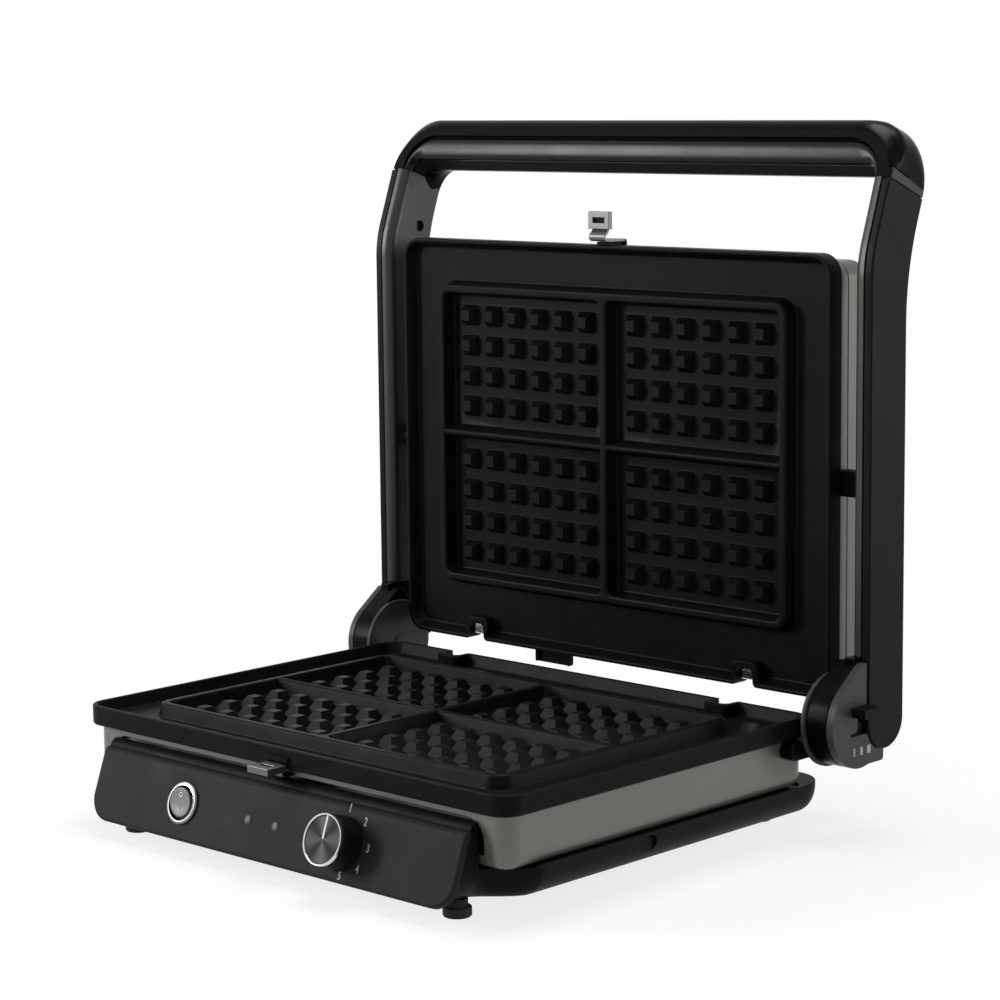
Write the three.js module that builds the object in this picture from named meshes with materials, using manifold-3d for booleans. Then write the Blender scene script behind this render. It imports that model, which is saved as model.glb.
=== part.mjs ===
// Sandwich and waffle maker with an upright lid, two waffle plates, a slanted control panel
// and a bent handle. Lengths are in millimetres, X runs to the right along the panel,
// Y to the back and Z up. Inside this file the plate frame is used: Y is zero at the front
// edge of the lower plate and Z is zero at its rim. The last lines move it onto its feet.
import * as THREE from "three";
import { LoftGeometry } from "three/addons/geometries/LoftGeometry.js";
import { mergeVertices } from "three/addons/utils/BufferGeometryUtils.js";
import Module from "manifold-3d";

const wasm = await Module();
wasm.setup();

// Counts of segments and repeated forms
const cornerSteps = 4;
const roundSides = 20;
const drumSides = 32;
const bendSteps = 6;
const edgeSteps = 3;
const heaterSides = 6;
const heaterStations = 48;
const studColumns = 6;
const studRows = 4;
const frustumSides = 4;

// General clearances
const seatGap = 0.3;
const overrun = 5;
const bite = 0.2;

// Waffle plates
const plateWidth = 300;
const plateDepth = 224;
const plateHeight = 10.3;
const plateCorner = 11.5;
const rimWidth = 2.3;
const gutterDepth = 6.6;
const gutterDraft = 2.7;
const ringFromFront = 25.3;
const ringFromRear = 32.5;
const ringFromSide = 27.5;
const ringProud = 0.6;
const ringWidth = 3.9;
const ringCorner = 8;
const wallDraft = 2;
const crossRibShare = 0.48;
const ribWidth = 3.9;
const cellDepth = 7.8;
const ridgeRound = 1.5;
const studMarginX = 15.1;
const studMarginY = 12.9;
const studTop = 5.8;
const studBase = 11.4;
const studSink = 2.5;
const closedRimGap = 1.5;

// Notches for the hooks, drain tab, catch slot and catch lug of a plate
const notchFromSide = 54;
const notchWidth = 11;
const notchDepth = 10;
const notchWall = 3;
const tabFromMiddle = 28;
const tabWidth = 26;
const tabLength = 7;
const tabDrop = 3;
const tabThickness = 3;
const catchSlotWidth = 16;
const catchSlotHeight = 2.2;
const catchSlotDepth = 2;
const catchSlotDrop = 7.2;
const lugWidth = 14.8;
const lugProud = 1.5;
const lugHeight = 2.2;
const lugDrop = 4.2;

// Housing bands, reflectors and heating elements
const bandInset = 4;
const bandFromFront = 4.5;
const bandFromRear = 1;
const bandCorner = 9.5;
const bandWall = 1.5;
const bandEdgeRound = 7;
const lowerBandHeight = 26.4;
const upperBandHeight = 9.3;
const flangeWidth = 6;
const flangeThickness = 1.3;
const heaterRadius = 3.2;
const heaterFromSide = 58;
const heaterFromFront = 42;
const heaterFromRear = 46;
const heaterCorner = 22;
const heaterTerminalSpacing = 36;
const heaterTerminalDrop = 9;
const heaterHoleGap = 1;
const reflectorThickness = 1;
const reflectorInset = 4;
const reflectorWallDrop = 2.5;

// Lid cover behind the upper band
const coverHeight = 20.3;
const coverWall = 1.5;
const coverRound = 8.5;

// Base tray and feet
const trayLip = 1.5;
const trayOverlap = 1;
const trayBottomDrop = 53;
const trayFloor = 2.5;
const trayWall = 9.8;
const trayFrontBlend = 26;
const traySideRound = 15;
const trayRearRound = 6;
const trayRearPast = 17.5;
const trayRearCorner = 20;
const trayDeck = 3;
const trayRearWall = 4;
const noseTopDrop = 18.8;
const noseWall = 2.4;
const noseCorner = 4;
const archPastPanel = 3;
const archDrop = 13.8;
const archCorner = 11;
const archFlare = 6;
const footRadius = 6.8;
const footNeckRadius = 5;
const footHeight = 9;
const footPadHeight = 5;
const footChamfer = 1;
const frontFootFromSide = 36;
const frontFootFromFront = 5;
const rearFootFromSide = 40;
const rearFootPast = 6;

// Control panel
const panelFromSide = 21;
const panelCrestForward = 3.4;
const panelCrestDrop = 18.4;
const panelFootForward = 16;
const panelFootDrop = 53.2;
const panelWall = 3.2;
const panelCrestRound = 3;
const panelCornerRound = 13;
const controlRow = 18.6;
const switchFromPanelEnd = 68.3;
const knobFromPanelEnd = 75;
const lampOneFromMiddle = 12.3;
const lampTwoFromMiddle = 7.2;

// Switch
const bezelRadius = 10.75;
const bezelBarrelRadius = 9.3;
const bezelBore = 8.7;
const bezelProud = 1.6;
const buttonRadius = 8.2;
const buttonThickness = 3.2;
const buttonTilt = 8;
const switchBodyWidth = 17;
const switchBodyHeight = 14;
const switchBodyDepth = 10;

// Lamps
const lampRadius = 2.5;
const lampProud = 0.5;
const lampFlangeRadius = 3.6;
const lampFlangeThickness = 1.2;

// Knob and thermostat
const knobBaseRadius = 13.2;
const knobFrontRadius = 12.5;
const knobHeight = 11.4;
const knobStandOff = 0.6;
const knobRingRadius = 12.4;
const knobRingWidth = 1.4;
const knobRingHeight = 1.8;
const knobFaceDrop = 0.6;
const knobShaftRadius = 3;
const knobBoreDepth = 9;
const thermostatWidth = 22;
const thermostatHeight = 14;
const thermostatDepth = 10;

// Terminal block and cord gland
const terminalWidth = 40;
const terminalDepth = 16;
const terminalHeight = 12;
const terminalFromSide = 90;
const terminalFromRear = 20;
const glandRadius = 5.5;
const glandFlangeRadius = 6.8;
const glandFlangeThickness = 2.5;
const glandBore = 3.4;
const glandDrop = 44.8;

// Plate hooks
const hookWidth = 8;
const hookThickness = 1.5;
const hookTopDrop = 2.5;
const hookLip = 4.5;

// Hinge
const hingePastPlate = 7.5;
const hingeDrop = 2.5;
const bracketDiscGap = 3.7;
const bracketDiscRadius = 24;
const bracketDiscThickness = 2.3;
const bracketFromRear = 23;
const bracketLength = 27;
const bracketDrop = 10.9;
const bracketHeight = 9;
const pinRadius = 3.2;
const pinHeadRadius = 4.2;
const pinHeadThickness = 1.3;
const pinEndGap = 1.2;
const drumRadius = 22.6;
const drumTipBack = 5;
const drumTipRise = 32.1;
const drumLugBack = 25.5;
const drumLugDrop = 23.5;
const capThickness = 4;
const capCoverGap = 0.5;

// Arms and handle
const armFromDisc = 6.5;
const armThickness = 6.2;
const armCoverThickness = 5;
const armFrontBack = 5.5;
const armDepth = 29.2;
const armBottomRise = 32.5;
const armCoverBottomDrop = 1.3;
const leanDegrees = 19.5;
const frontCornerPast = 5.3;
const frontBendRadius = 58;
const backBendRadius = 150;
const slantThickness = 30;
const armEndFromCorner = 42.6;
const collarHeight = 3.5;
const handleHeight = 30.8;
const handleCornerCentre = 45.5;
const handleFrontRound = 8.4;
const handleRearRound = 12;
const handleSideFront = 0.8;
const handleSideRear = 3;
const handleBarBottom = 46.9;
const handleBarRearRound = 9;
const handleGusset = 5;
const handleStrip = 1.2;
const armHoleRadius = 2.6;
const armHoleFromCorner = 15;
const armHoleShare = 0.72;
const gripSocketRadius = 3;
const gripSocketDepth = 5;
const gripSocketLeft = 90.5;
const gripSocketRight = 60.5;

// Lid pivots
const pivotFromRear = 109;
const pivotDrop = 15.5;
const pivotRadius = 4;
const pivotBlockWidth = 13;
const pivotBlockHeight = 9;
const pivotBlockLength = 12.6;
const pivotPinSpan = 11;

// Plate latches
const latchHalfWidth = 7.3;
const latchNeckHalfWidth = 5.5;
const latchSheet = 1.4;
const latchNeckForward = 3.2;
const latchRunDrop = 12.5;
const latchRunBack = 14;
const latchLipDrop = 7.8;
const latchLipHeight = 1.2;
const latchLipReach = 1.5;
const lowerHeadForward = 14;
const lowerHeadDrop = 7.3;
const lowerHeadHeight = 3.5;
const upperHeadForward = 17.8;
const upperHeadBack = 8.6;
const upperHeadRise = 3;
const latchWindowHalfWidth = 4;
const latchWindowLength = 2.6;
const latchSlotGap = 0.5;

// Thickness selector
const selectorTabWidth = 12.8;
const selectorTabHeight = 4.7;
const selectorTabReach = 8.7;
const selectorRise = 6.7;
const selectorStemWidth = 6;
const selectorStemDepth = 3.4;
const selectorTravel = 10;
const selectorSlotForward = 2.3;
const selectorBranchForward = 7.5;
const selectorBranchHeight = 1.8;

const plateHalf = plateWidth / 2;
const crossRibFromFront = crossRibShare * plateDepth;
const notchFromMiddle = plateHalf - notchFromSide;
const heaterHalfWidth = plateHalf - heaterFromSide;
const panelHalfWidth = plateHalf - panelFromSide;
const noseHalfWidth = panelHalfWidth;
const archHalfWidth = panelHalfWidth + archPastPanel;
const frontFootFromMiddle = plateHalf - frontFootFromSide;
const rearFootFromMiddle = plateHalf - rearFootFromSide;
const rearFootFromFront = plateDepth + rearFootPast;
const switchFromMiddle = panelHalfWidth - switchFromPanelEnd;
const knobFromMiddle = panelHalfWidth - knobFromPanelEnd;
const terminalFromMiddle = plateHalf - terminalFromSide;
const bracketHalfGap = plateHalf + bracketDiscGap;
const bracketFromFront = plateDepth - bracketFromRear;
const armInnerHalf = bracketHalfGap + bracketDiscThickness + armFromDisc;
const frontCornerRise = plateDepth + frontCornerPast;
const pivotFromFront = plateDepth - pivotFromRear;
const bandHalf = plateHalf - bandInset;
const bandRear = plateDepth - bandFromRear;
const bandTop = -plateHeight - seatGap;
const lowerBandBottom = bandTop - lowerBandHeight;
const upperBandBottom = bandTop - upperBandHeight;
const trayBottom = -trayBottomDrop;
const trayTop = lowerBandBottom + trayOverlap;
const trayHalf = bandHalf + seatGap + trayLip;
const trayRear = plateDepth + trayRearPast;
const trayFloorTop = trayBottom + trayFloor;
const heaterLevel = -plateHeight - seatGap - heaterRadius;
const reflectorTop = heaterLevel - heaterRadius - seatGap;
const reflectorBottom = reflectorTop - reflectorThickness;
const flangeTop = reflectorBottom - seatGap;
const hingeY = plateDepth + hingePastPlate;
const hingeZ = -hingeDrop;
const lean = THREE.MathUtils.degToRad(leanDegrees);
const quarterTurn = Math.PI / 2;

const matteBlack = finish(0x1b1b1c, 0.62, 0);
const castBlack = finish(0x161616, 0.55, 0.1);
const glossBlack = finish(0x0c0c0d, 0.18, 0);
const panelGrey = finish(0x3a3a3b, 0.6, 0);
const olivePaint = finish(0x6a6b64, 0.32, 0.2);
const coverGrey = finish(0x555556, 0.42, 0.2);
const capGrey = finish(0x616162, 0.45, 0.2);
const collarGrey = finish(0x3c3c3c, 0.4, 0.3);
const chrome = finish(0xc9c9c9, 0.18, 1);
const spunMetal = finish(0x77777a, 0.35, 1);
const steel = finish(0xa8a8a8, 0.38, 1);
const rubberBlack = finish(0x171717, 0.85, 0);
const lampGrey = finish(0x5b5b5b, 0.3, 0);
const plasticBeige = finish(0xd8d2c4, 0.6, 0);

function finish(color, roughness, metalness) {
  return new THREE.MeshStandardMaterial({ color, roughness, metalness });
}

// Turning geometries into solids and back

function solidOf(geometry) {
  const bare = geometry.index ? geometry.toNonIndexed() : geometry.clone();
  bare.deleteAttribute("normal");
  bare.deleteAttribute("uv");
  const merged = mergeVertices(bare);
  return new wasm.Manifold(
    new wasm.Mesh({
      numProp: 3,
      vertProperties: merged.attributes.position.array,
      triVerts: new Uint32Array(merged.index.array),
    }),
  );
}

function geometryOf(solid) {
  const mesh = solid.getMesh();
  const geometry = new THREE.BufferGeometry();
  geometry.setAttribute("position", new THREE.BufferAttribute(mesh.vertProperties, 3));
  geometry.setIndex(new THREE.BufferAttribute(mesh.triVerts, 1));
  const flat = geometry.toNonIndexed();
  flat.computeVertexNormals();
  return flat;
}

function addPiece(group, name, solid, material) {
  const mesh = new THREE.Mesh(geometryOf(solid), material);
  mesh.name = name;
  group.add(mesh);
  return mesh;
}

function joined(solids) {
  return solids.reduce((whole, next) => whole.add(next));
}

// Basic solids

function block(x0, x1, y0, y1, z0, z1) {
  const geometry = new THREE.BoxGeometry(x1 - x0, y1 - y0, z1 - z0);
  geometry.translate((x0 + x1) / 2, (y0 + y1) / 2, (z0 + z1) / 2);
  return solidOf(geometry);
}

function upright(radius, x, y, z0, z1, sides = roundSides) {
  const geometry = new THREE.CylinderGeometry(radius, radius, z1 - z0, sides);
  geometry.rotateX(quarterTurn);
  geometry.translate(x, y, (z0 + z1) / 2);
  return solidOf(geometry);
}

function crosswise(radius, x0, x1, y, z, sides = roundSides) {
  const geometry = new THREE.CylinderGeometry(radius, radius, x1 - x0, sides);
  geometry.rotateZ(quarterTurn);
  geometry.translate((x0 + x1) / 2, y, z);
  return solidOf(geometry);
}

function lengthwise(radius, x, y0, y1, z) {
  const geometry = new THREE.CylinderGeometry(radius, radius, y1 - y0, roundSides);
  geometry.translate(x, (y0 + y1) / 2, z);
  return solidOf(geometry);
}

// A turned solid round the Z axis, from a profile of radius and height
function turned(profile, sides = roundSides) {
  const geometry = new THREE.LatheGeometry(profile, sides);
  geometry.rotateX(quarterTurn);
  return solidOf(geometry);
}

function point(a, b) {
  return new THREE.Vector2(a, b);
}

// A side outline of Y and Z, extruded along X
function sideways(outline, x0, x1) {
  const geometry = new THREE.ExtrudeGeometry(new THREE.Shape(outline), {
    depth: x1 - x0,
    bevelEnabled: false,
  });
  const axes = new THREE.Matrix4().makeBasis(
    new THREE.Vector3(0, 1, 0),
    new THREE.Vector3(0, 0, 1),
    new THREE.Vector3(1, 0, 0),
  );
  geometry.applyMatrix4(axes);
  geometry.translate(x0, 0, 0);
  return solidOf(geometry);
}

// A front outline of X and Z, extruded along Y
function frontal(outline, y0, y1) {
  const geometry = new THREE.ExtrudeGeometry(new THREE.Shape(outline), {
    depth: y1 - y0,
    bevelEnabled: false,
  });
  geometry.rotateX(quarterTurn);
  geometry.translate(0, y1, 0);
  return solidOf(geometry);
}

function arcPoints(centre, radius, from, to, steps) {
  const points = [];
  for (let i = 0; i <= steps; i += 1) {
    const angle = from + ((to - from) * i) / steps;
    points.push(point(centre.x + radius * Math.cos(angle), centre.y + radius * Math.sin(angle)));
  }
  return points;
}

// The points of a rectangle with round corners, counterclockwise
function roundRectangle(x0, x1, y0, y1, radius) {
  const points = [];
  const corners = [
    [x1 - radius, y0 + radius, -quarterTurn],
    [x1 - radius, y1 - radius, 0],
    [x0 + radius, y1 - radius, quarterTurn],
    [x0 + radius, y0 + radius, 2 * quarterTurn],
  ];
  for (const [x, y, start] of corners) {
    points.push(...arcPoints(point(x, y), radius, start, start + quarterTurn, cornerSteps));
  }
  return points;
}

// A solid through level outlines, each with its height and its limits, from low to high
function layered(levels) {
  const sections = levels.map((level) =>
    roundRectangle(level.x0, level.x1, level.y0, level.y1, level.radius).map(
      (spot) => new THREE.Vector3(spot.x, spot.y, level.z),
    ),
  );
  return solidOf(new LoftGeometry(sections, { capStart: true, capEnd: true }));
}

function rectangleLevel(z, half, y0, y1, radius) {
  return { z, x0: -half, x1: half, y0, y1, radius };
}

// Waffle plate

function ringLimits() {
  return {
    half: plateHalf - ringFromSide,
    front: ringFromFront,
    rear: plateDepth - ringFromRear,
  };
}

function cellLimits() {
  const ring = ringLimits();
  const columns = [
    [-ring.half + ringWidth, -ribWidth / 2],
    [ribWidth / 2, ring.half - ringWidth],
  ];
  const rows = [
    [ring.front + ringWidth, crossRibFromFront - ribWidth / 2],
    [crossRibFromFront + ribWidth / 2, ring.rear - ringWidth],
  ];
  return columns.flatMap(([x0, x1]) => rows.map(([y0, y1]) => ({ x0, x1, y0, y1 })));
}

function gutterCut() {
  const topHalf = plateHalf - rimWidth;
  const topFront = rimWidth;
  const topRear = plateDepth - rimWidth;
  const slope = gutterDraft / gutterDepth;
  const high = overrun * slope;
  const radius = plateCorner - rimWidth;
  const level = (z, grow) =>
    rectangleLevel(z, topHalf + grow, topFront - grow, topRear + grow, radius + grow);
  return layered([level(-gutterDepth, -gutterDraft), level(overrun, high)]);
}

function plateRing() {
  const ring = ringLimits();
  const level = (z, grow) =>
    rectangleLevel(z, ring.half + grow, ring.front - grow, ring.rear + grow, ringCorner + grow);
  return layered([level(-gutterDepth - bite, wallDraft), level(ringProud, 0)]);
}

// One recess on each side of the middle rib. A ridge across it parts its two cells.
function recessLimits() {
  const ring = ringLimits();
  const y0 = ring.front + ringWidth;
  const y1 = ring.rear - ringWidth;
  return [
    { x0: -ring.half + ringWidth, x1: -ribWidth / 2, y0, y1 },
    { x0: ribWidth / 2, x1: ring.half - ringWidth, y0, y1 },
  ];
}

function recessCut(recess) {
  const high = (overrun * wallDraft) / cellDepth;
  const radius = ringCorner - ringWidth;
  const level = (z, grow) => ({
    z,
    x0: recess.x0 - grow,
    x1: recess.x1 + grow,
    y0: recess.y0 - grow,
    y1: recess.y1 + grow,
    radius: radius + grow,
  });
  return layered([level(ringProud - cellDepth, -wallDraft), level(ringProud + overrun, high)]);
}

function crossRidge(recess) {
  const middle = crossRibFromFront;
  const foot = ribWidth / 2 + wallDraft;
  const crest = ribWidth / 2 - ridgeRound;
  const shoulder = ringProud - ridgeRound;
  const outline = [
    point(middle - foot, ringProud - cellDepth - bite),
    point(middle + foot, ringProud - cellDepth - bite),
    point(middle + ribWidth / 2, shoulder),
    ...arcPoints(point(middle + crest, shoulder), ridgeRound, 0, quarterTurn, edgeSteps),
    ...arcPoints(point(middle - crest, shoulder), ridgeRound, quarterTurn, 2 * quarterTurn, edgeSteps),
  ];
  return sideways(outline, recess.x0 - wallDraft / 2, recess.x1 + wallDraft / 2);
}

function stud(x, y) {
  const floor = ringProud - cellDepth - bite;
  const height = cellDepth - studSink + bite;
  const geometry = new THREE.CylinderGeometry(
    studTop / Math.SQRT2,
    studBase / Math.SQRT2,
    height,
    frustumSides,
  );
  geometry.rotateY(quarterTurn / 2);
  geometry.rotateX(quarterTurn);
  geometry.translate(x, y, floor + height / 2);
  return solidOf(geometry);
}

function cellStuds(cell) {
  const middleX = (cell.x0 + cell.x1) / 2;
  const middleY = (cell.y0 + cell.y1) / 2;
  const pitchX = (cell.x1 - cell.x0 - 2 * studMarginX) / (studColumns - 1);
  const pitchY = (cell.y1 - cell.y0 - 2 * studMarginY) / (studRows - 1);
  const studs = [];
  for (let column = 0; column < studColumns; column += 1) {
    for (let row = 0; row < studRows; row += 1) {
      const x = middleX + (column - (studColumns - 1) / 2) * pitchX;
      const y = middleY + (row - (studRows - 1) / 2) * pitchY;
      studs.push(stud(x, y));
    }
  }
  return joined(studs);
}

function notchSides() {
  return [-notchFromMiddle, notchFromMiddle];
}

function notchRim(x) {
  const half = notchWidth / 2 + notchWall;
  const front = plateDepth - notchDepth - notchWall;
  return block(x - half, x + half, front, plateDepth - rimWidth / 2, -gutterDepth - bite, 0);
}

function notchCut(x) {
  const half = notchWidth / 2;
  const front = plateDepth - notchDepth;
  return block(x - half, x + half, front, plateDepth + overrun, -plateHeight - overrun, overrun);
}

function drainTab() {
  return block(
    tabFromMiddle,
    tabFromMiddle + tabWidth,
    plateDepth - rimWidth / 2,
    plateDepth + tabLength,
    -tabDrop - tabThickness,
    -tabDrop,
  );
}

function catchLug() {
  return block(-lugWidth / 2, lugWidth / 2, -lugProud, rimWidth / 2, -lugDrop - lugHeight, -lugDrop);
}

function catchSlot() {
  const half = catchSlotWidth / 2;
  const top = -catchSlotDrop;
  return block(-half, half, -overrun, catchSlotDepth, top - catchSlotHeight, top);
}

function wafflePlate() {
  const slab = layered([
    rectangleLevel(-plateHeight, plateHalf, 0, plateDepth, plateCorner),
    rectangleLevel(0, plateHalf, 0, plateDepth, plateCorner),
  ]);
  const cells = cellLimits();
  const recesses = recessLimits();
  const dished = slab
    .subtract(gutterCut())
    .add(plateRing())
    .add(joined(notchSides().map(notchRim)))
    .subtract(joined(recesses.map(recessCut)))
    .add(joined(recesses.map(crossRidge)));
  return dished
    .add(joined(cells.map(cellStuds)))
    .add(drainTab())
    .add(catchLug())
    .subtract(catchSlot())
    .subtract(joined(notchSides().map(notchCut)));
}

// Housing bands under each plate, with an inner flange for the reflector

// The band's outline, drawn in by an inset, or grown by a negative one
function bandLevel(z, inset) {
  return rectangleLevel(z, bandHalf - inset, bandFromFront + inset, bandRear - inset, bandCorner - inset);
}

function bandOuter(bottom, edgeRound) {
  const levels = [];
  for (let i = 0; i <= edgeSteps; i += 1) {
    const angle = (quarterTurn * i) / edgeSteps;
    const inset = edgeRound * (1 - Math.sin(angle));
    const rise = edgeRound * (1 - Math.cos(angle));
    levels.push(bandLevel(bottom + rise, inset));
  }
  levels.push(bandLevel(bandTop, 0));
  return layered(levels);
}

function bandPocket(inset, z0, z1) {
  return layered([bandLevel(z0, inset), bandLevel(z1, inset)]);
}

function latchSlotCut() {
  const half = latchNeckHalfWidth + latchSlotGap;
  return block(
    -half,
    half,
    bandFromFront - overrun,
    bandFromFront + overrun,
    -latchRunDrop - latchSheet - latchSlotGap,
    -latchRunDrop + latchSlotGap,
  );
}

function hollowBand(outer, bottom) {
  const flangeBottom = flangeTop - flangeThickness;
  const hollow = outer
    .subtract(bandPocket(bandWall, flangeTop, overrun))
    .subtract(bandPocket(bandWall + flangeWidth, flangeBottom - overrun, flangeTop + bite))
    .subtract(latchSlotCut());
  return bottom < flangeBottom
    ? hollow.subtract(bandPocket(bandWall + flangeWidth, bottom - overrun, flangeBottom))
    : hollow;
}

function lowerHousing() {
  const flangeBottom = flangeTop - flangeThickness;
  const under = bandPocket(bandWall, lowerBandBottom + bandEdgeRound, flangeBottom);
  return hollowBand(bandOuter(lowerBandBottom, bandEdgeRound), lowerBandBottom)
    .subtract(under)
    .subtract(frontArch());
}

// The arch in the front wall, through which the tray reaches forward, with flared feet
function frontArch() {
  const r = archCorner;
  const f = archFlare;
  const half = archHalfWidth;
  const bottom = lowerBandBottom;
  const outline = [
    ...arcPoints(point(half - r, -archDrop - r), r, 0, quarterTurn, cornerSteps),
    ...arcPoints(point(r - half, -archDrop - r), r, quarterTurn, 2 * quarterTurn, cornerSteps),
    ...arcPoints(point(-half - f, bottom + f), f, 0, -quarterTurn, cornerSteps),
    point(-half - f, bottom - overrun),
    point(half + f, bottom - overrun),
    ...arcPoints(point(half + f, bottom + f), f, -quarterTurn, -2 * quarterTurn, cornerSteps),
  ];
  return frontal(outline, bandFromFront - overrun, bandFromFront + bandWall + bite);
}

function upperHousing() {
  const outer = bandPocket(0, upperBandBottom, bandTop);
  return hollowBand(outer, upperBandBottom);
}

// Reflector pan and bent heating element, the same in the base and in the lid

function heaterTerminals() {
  return [-heaterTerminalSpacing / 2, heaterTerminalSpacing / 2];
}

function reflectorPan() {
  const outerInset = bandWall + reflectorInset;
  const top = -plateHeight - reflectorWallDrop;
  const outer = bandPocket(outerInset, reflectorBottom, top);
  const inner = bandPocket(outerInset + reflectorThickness, reflectorTop, top + overrun);
  const holes = heaterTerminals().map((x) =>
    upright(
      heaterRadius + heaterHoleGap,
      x,
      bandRear - heaterFromRear,
      reflectorBottom - overrun,
      reflectorTop + bite,
    ),
  );
  const latchRelief = block(
    -latchNeckHalfWidth - latchSlotGap,
    latchNeckHalfWidth + latchSlotGap,
    bandFromFront,
    latchRunBack + latchSlotGap,
    -latchRunDrop - latchSheet - latchSlotGap,
    0,
  );
  return outer.subtract(inner).subtract(joined(holes)).subtract(latchRelief);
}

function heaterPath() {
  const rear = bandRear - heaterFromRear;
  const half = heaterHalfWidth;
  const front = heaterFromFront;
  const r = heaterCorner;
  const start = heaterTerminalSpacing / 2;
  const spot = (x, y) => new THREE.Vector3(x, y, heaterLevel);
  const path = new THREE.CurvePath();
  const line = (a, b) => path.add(new THREE.LineCurve3(a, b));
  const turn = (a, corner, b) => path.add(new THREE.QuadraticBezierCurve3(a, corner, b));
  line(spot(start, rear), spot(half - r, rear));
  turn(spot(half - r, rear), spot(half, rear), spot(half, rear - r));
  line(spot(half, rear - r), spot(half, front + r));
  turn(spot(half, front + r), spot(half, front), spot(half - r, front));
  line(spot(half - r, front), spot(r - half, front));
  turn(spot(r - half, front), spot(-half, front), spot(-half, front + r));
  line(spot(-half, front + r), spot(-half, rear - r));
  turn(spot(-half, rear - r), spot(-half, rear), spot(r - half, rear));
  line(spot(r - half, rear), spot(-start, rear));
  return path;
}

function tubeSection(radius, sides) {
  const points = [];
  for (let i = 0; i < sides; i += 1) {
    const angle = (2 * Math.PI * i) / sides;
    points.push(point(radius * Math.cos(angle), radius * Math.sin(angle)));
  }
  return new THREE.Shape(points);
}

function heatingElement() {
  const geometry = new THREE.ExtrudeGeometry(tubeSection(heaterRadius, heaterSides), {
    steps: heaterStations,
    bevelEnabled: false,
    extrudePath: heaterPath(),
  });
  const terminals = heaterTerminals().map((x) =>
    upright(heaterRadius, x, bandRear - heaterFromRear, heaterLevel - heaterTerminalDrop, heaterLevel),
  );
  return solidOf(geometry).add(joined(terminals));
}

// Lid cover behind the upper band, with a round edge

function coverShape(inset, z0) {
  const levels = [];
  const round = coverRound - inset;
  for (let i = 0; i <= cornerSteps; i += 1) {
    const angle = (quarterTurn * i) / cornerSteps;
    const side = inset + round * (1 - Math.sin(angle));
    const rise = round * (1 - Math.cos(angle));
    levels.push(bandLevel(z0 + rise, side));
  }
  return levels;
}

function lidCover() {
  const top = upperBandBottom - seatGap;
  const bottom = top - coverHeight;
  const outer = layered([...coverShape(0, bottom), bandLevel(top, 0)]);
  const inner = layered([
    ...coverShape(coverWall, bottom + coverWall),
    bandLevel(top + overrun, coverWall),
  ]);
  return outer.subtract(inner);
}

// Base tray with a round underside and a rear deck. In front it draws in to a nose, which
// passes through the housing's arch and carries the control panel.

// One level of the tray: straight sides, round rear corners and drawn-in front ends
function trayLevel(z, side, rear) {
  const half = trayHalf - side;
  const noseHalf = noseHalfWidth - side;
  const front = noseFront(z);
  const corner = Math.max(trayRearCorner - side, noseCorner);
  const back = trayRear - rear;
  const points = [];
  for (let i = 0; i <= cornerSteps; i += 1) {
    const share = i / cornerSteps;
    const ease = (1 - Math.cos(2 * quarterTurn * share)) / 2;
    points.push(point(noseHalf + (half - noseHalf) * ease, trayFrontBlend * share + bandFromFront / 2));
  }
  const right = [
    point(noseHalf, front),
    ...points,
    ...arcPoints(point(half - corner, back - corner), corner, 0, quarterTurn, cornerSteps),
  ];
  const left = right.map((spot) => point(-spot.x, spot.y)).reverse();
  return [...right, ...left].map((spot) => new THREE.Vector3(spot.x, spot.y, z));
}

function trayOuter() {
  const sections = [];
  for (let i = 0; i <= cornerSteps; i += 1) {
    const angle = (quarterTurn * i) / cornerSteps;
    const side = traySideRound * (1 - Math.sin(angle));
    const rear = trayRearRound * (1 - Math.sin(angle));
    const rise = traySideRound * (1 - Math.cos(angle));
    sections.push(trayLevel(trayBottom + rise, side, rear));
  }
  sections.push(trayLevel(trayTop, 0, 0));
  return solidOf(new LoftGeometry(sections, { capStart: true, capEnd: true }));
}

// The nose above the tray's rim, with a slanted front
function trayNose() {
  const rear = bandFromFront - seatGap;
  const outline = [
    point(noseFront(trayTop - bite), trayTop - bite),
    point(rear, trayTop - bite),
    point(rear, -noseTopDrop),
    point(noseFront(-noseTopDrop), -noseTopDrop),
  ];
  return sideways(outline, -noseHalfWidth, noseHalfWidth);
}

// The room inside the nose, open to the front and to the rear
function noseRoom() {
  const r = traySideRound - noseWall;
  const half = noseHalfWidth - noseWall;
  const top = -noseTopDrop - noseWall;
  const outline = [
    point(half, top),
    point(-half, top),
    ...arcPoints(point(r - half, trayFloorTop + r), r, 2 * quarterTurn, 3 * quarterTurn, cornerSteps),
    ...arcPoints(point(half - r, trayFloorTop + r), r, -quarterTurn, 0, cornerSteps),
  ];
  return frontal(outline, noseFront(trayBottom) - overrun, trayFrontBlend + bite);
}

function baseTray() {
  const shelf = lowerBandBottom - seatGap;
  const seat = bandPocket(-seatGap, shelf, overrun);
  const innerHalf = trayHalf - trayWall;
  const well = block(
    -innerHalf,
    innerHalf,
    trayFrontBlend,
    bandRear - bandWall - flangeWidth,
    trayFloorTop,
    shelf + overrun,
  );
  const rearWell = block(
    -innerHalf,
    innerHalf,
    bandRear - trayWall - overrun,
    trayRear - trayRearWall,
    trayFloorTop,
    trayTop - trayDeck,
  );
  const glandHole = lengthwise(
    glandRadius + seatGap,
    -terminalFromMiddle,
    trayRear - trayRearWall - overrun,
    trayRear + overrun,
    -glandDrop,
  );
  return trayOuter()
    .subtract(seat)
    .add(trayNose())
    .subtract(well)
    .subtract(rearWell)
    .subtract(noseRoom())
    .subtract(glandHole);
}

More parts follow.
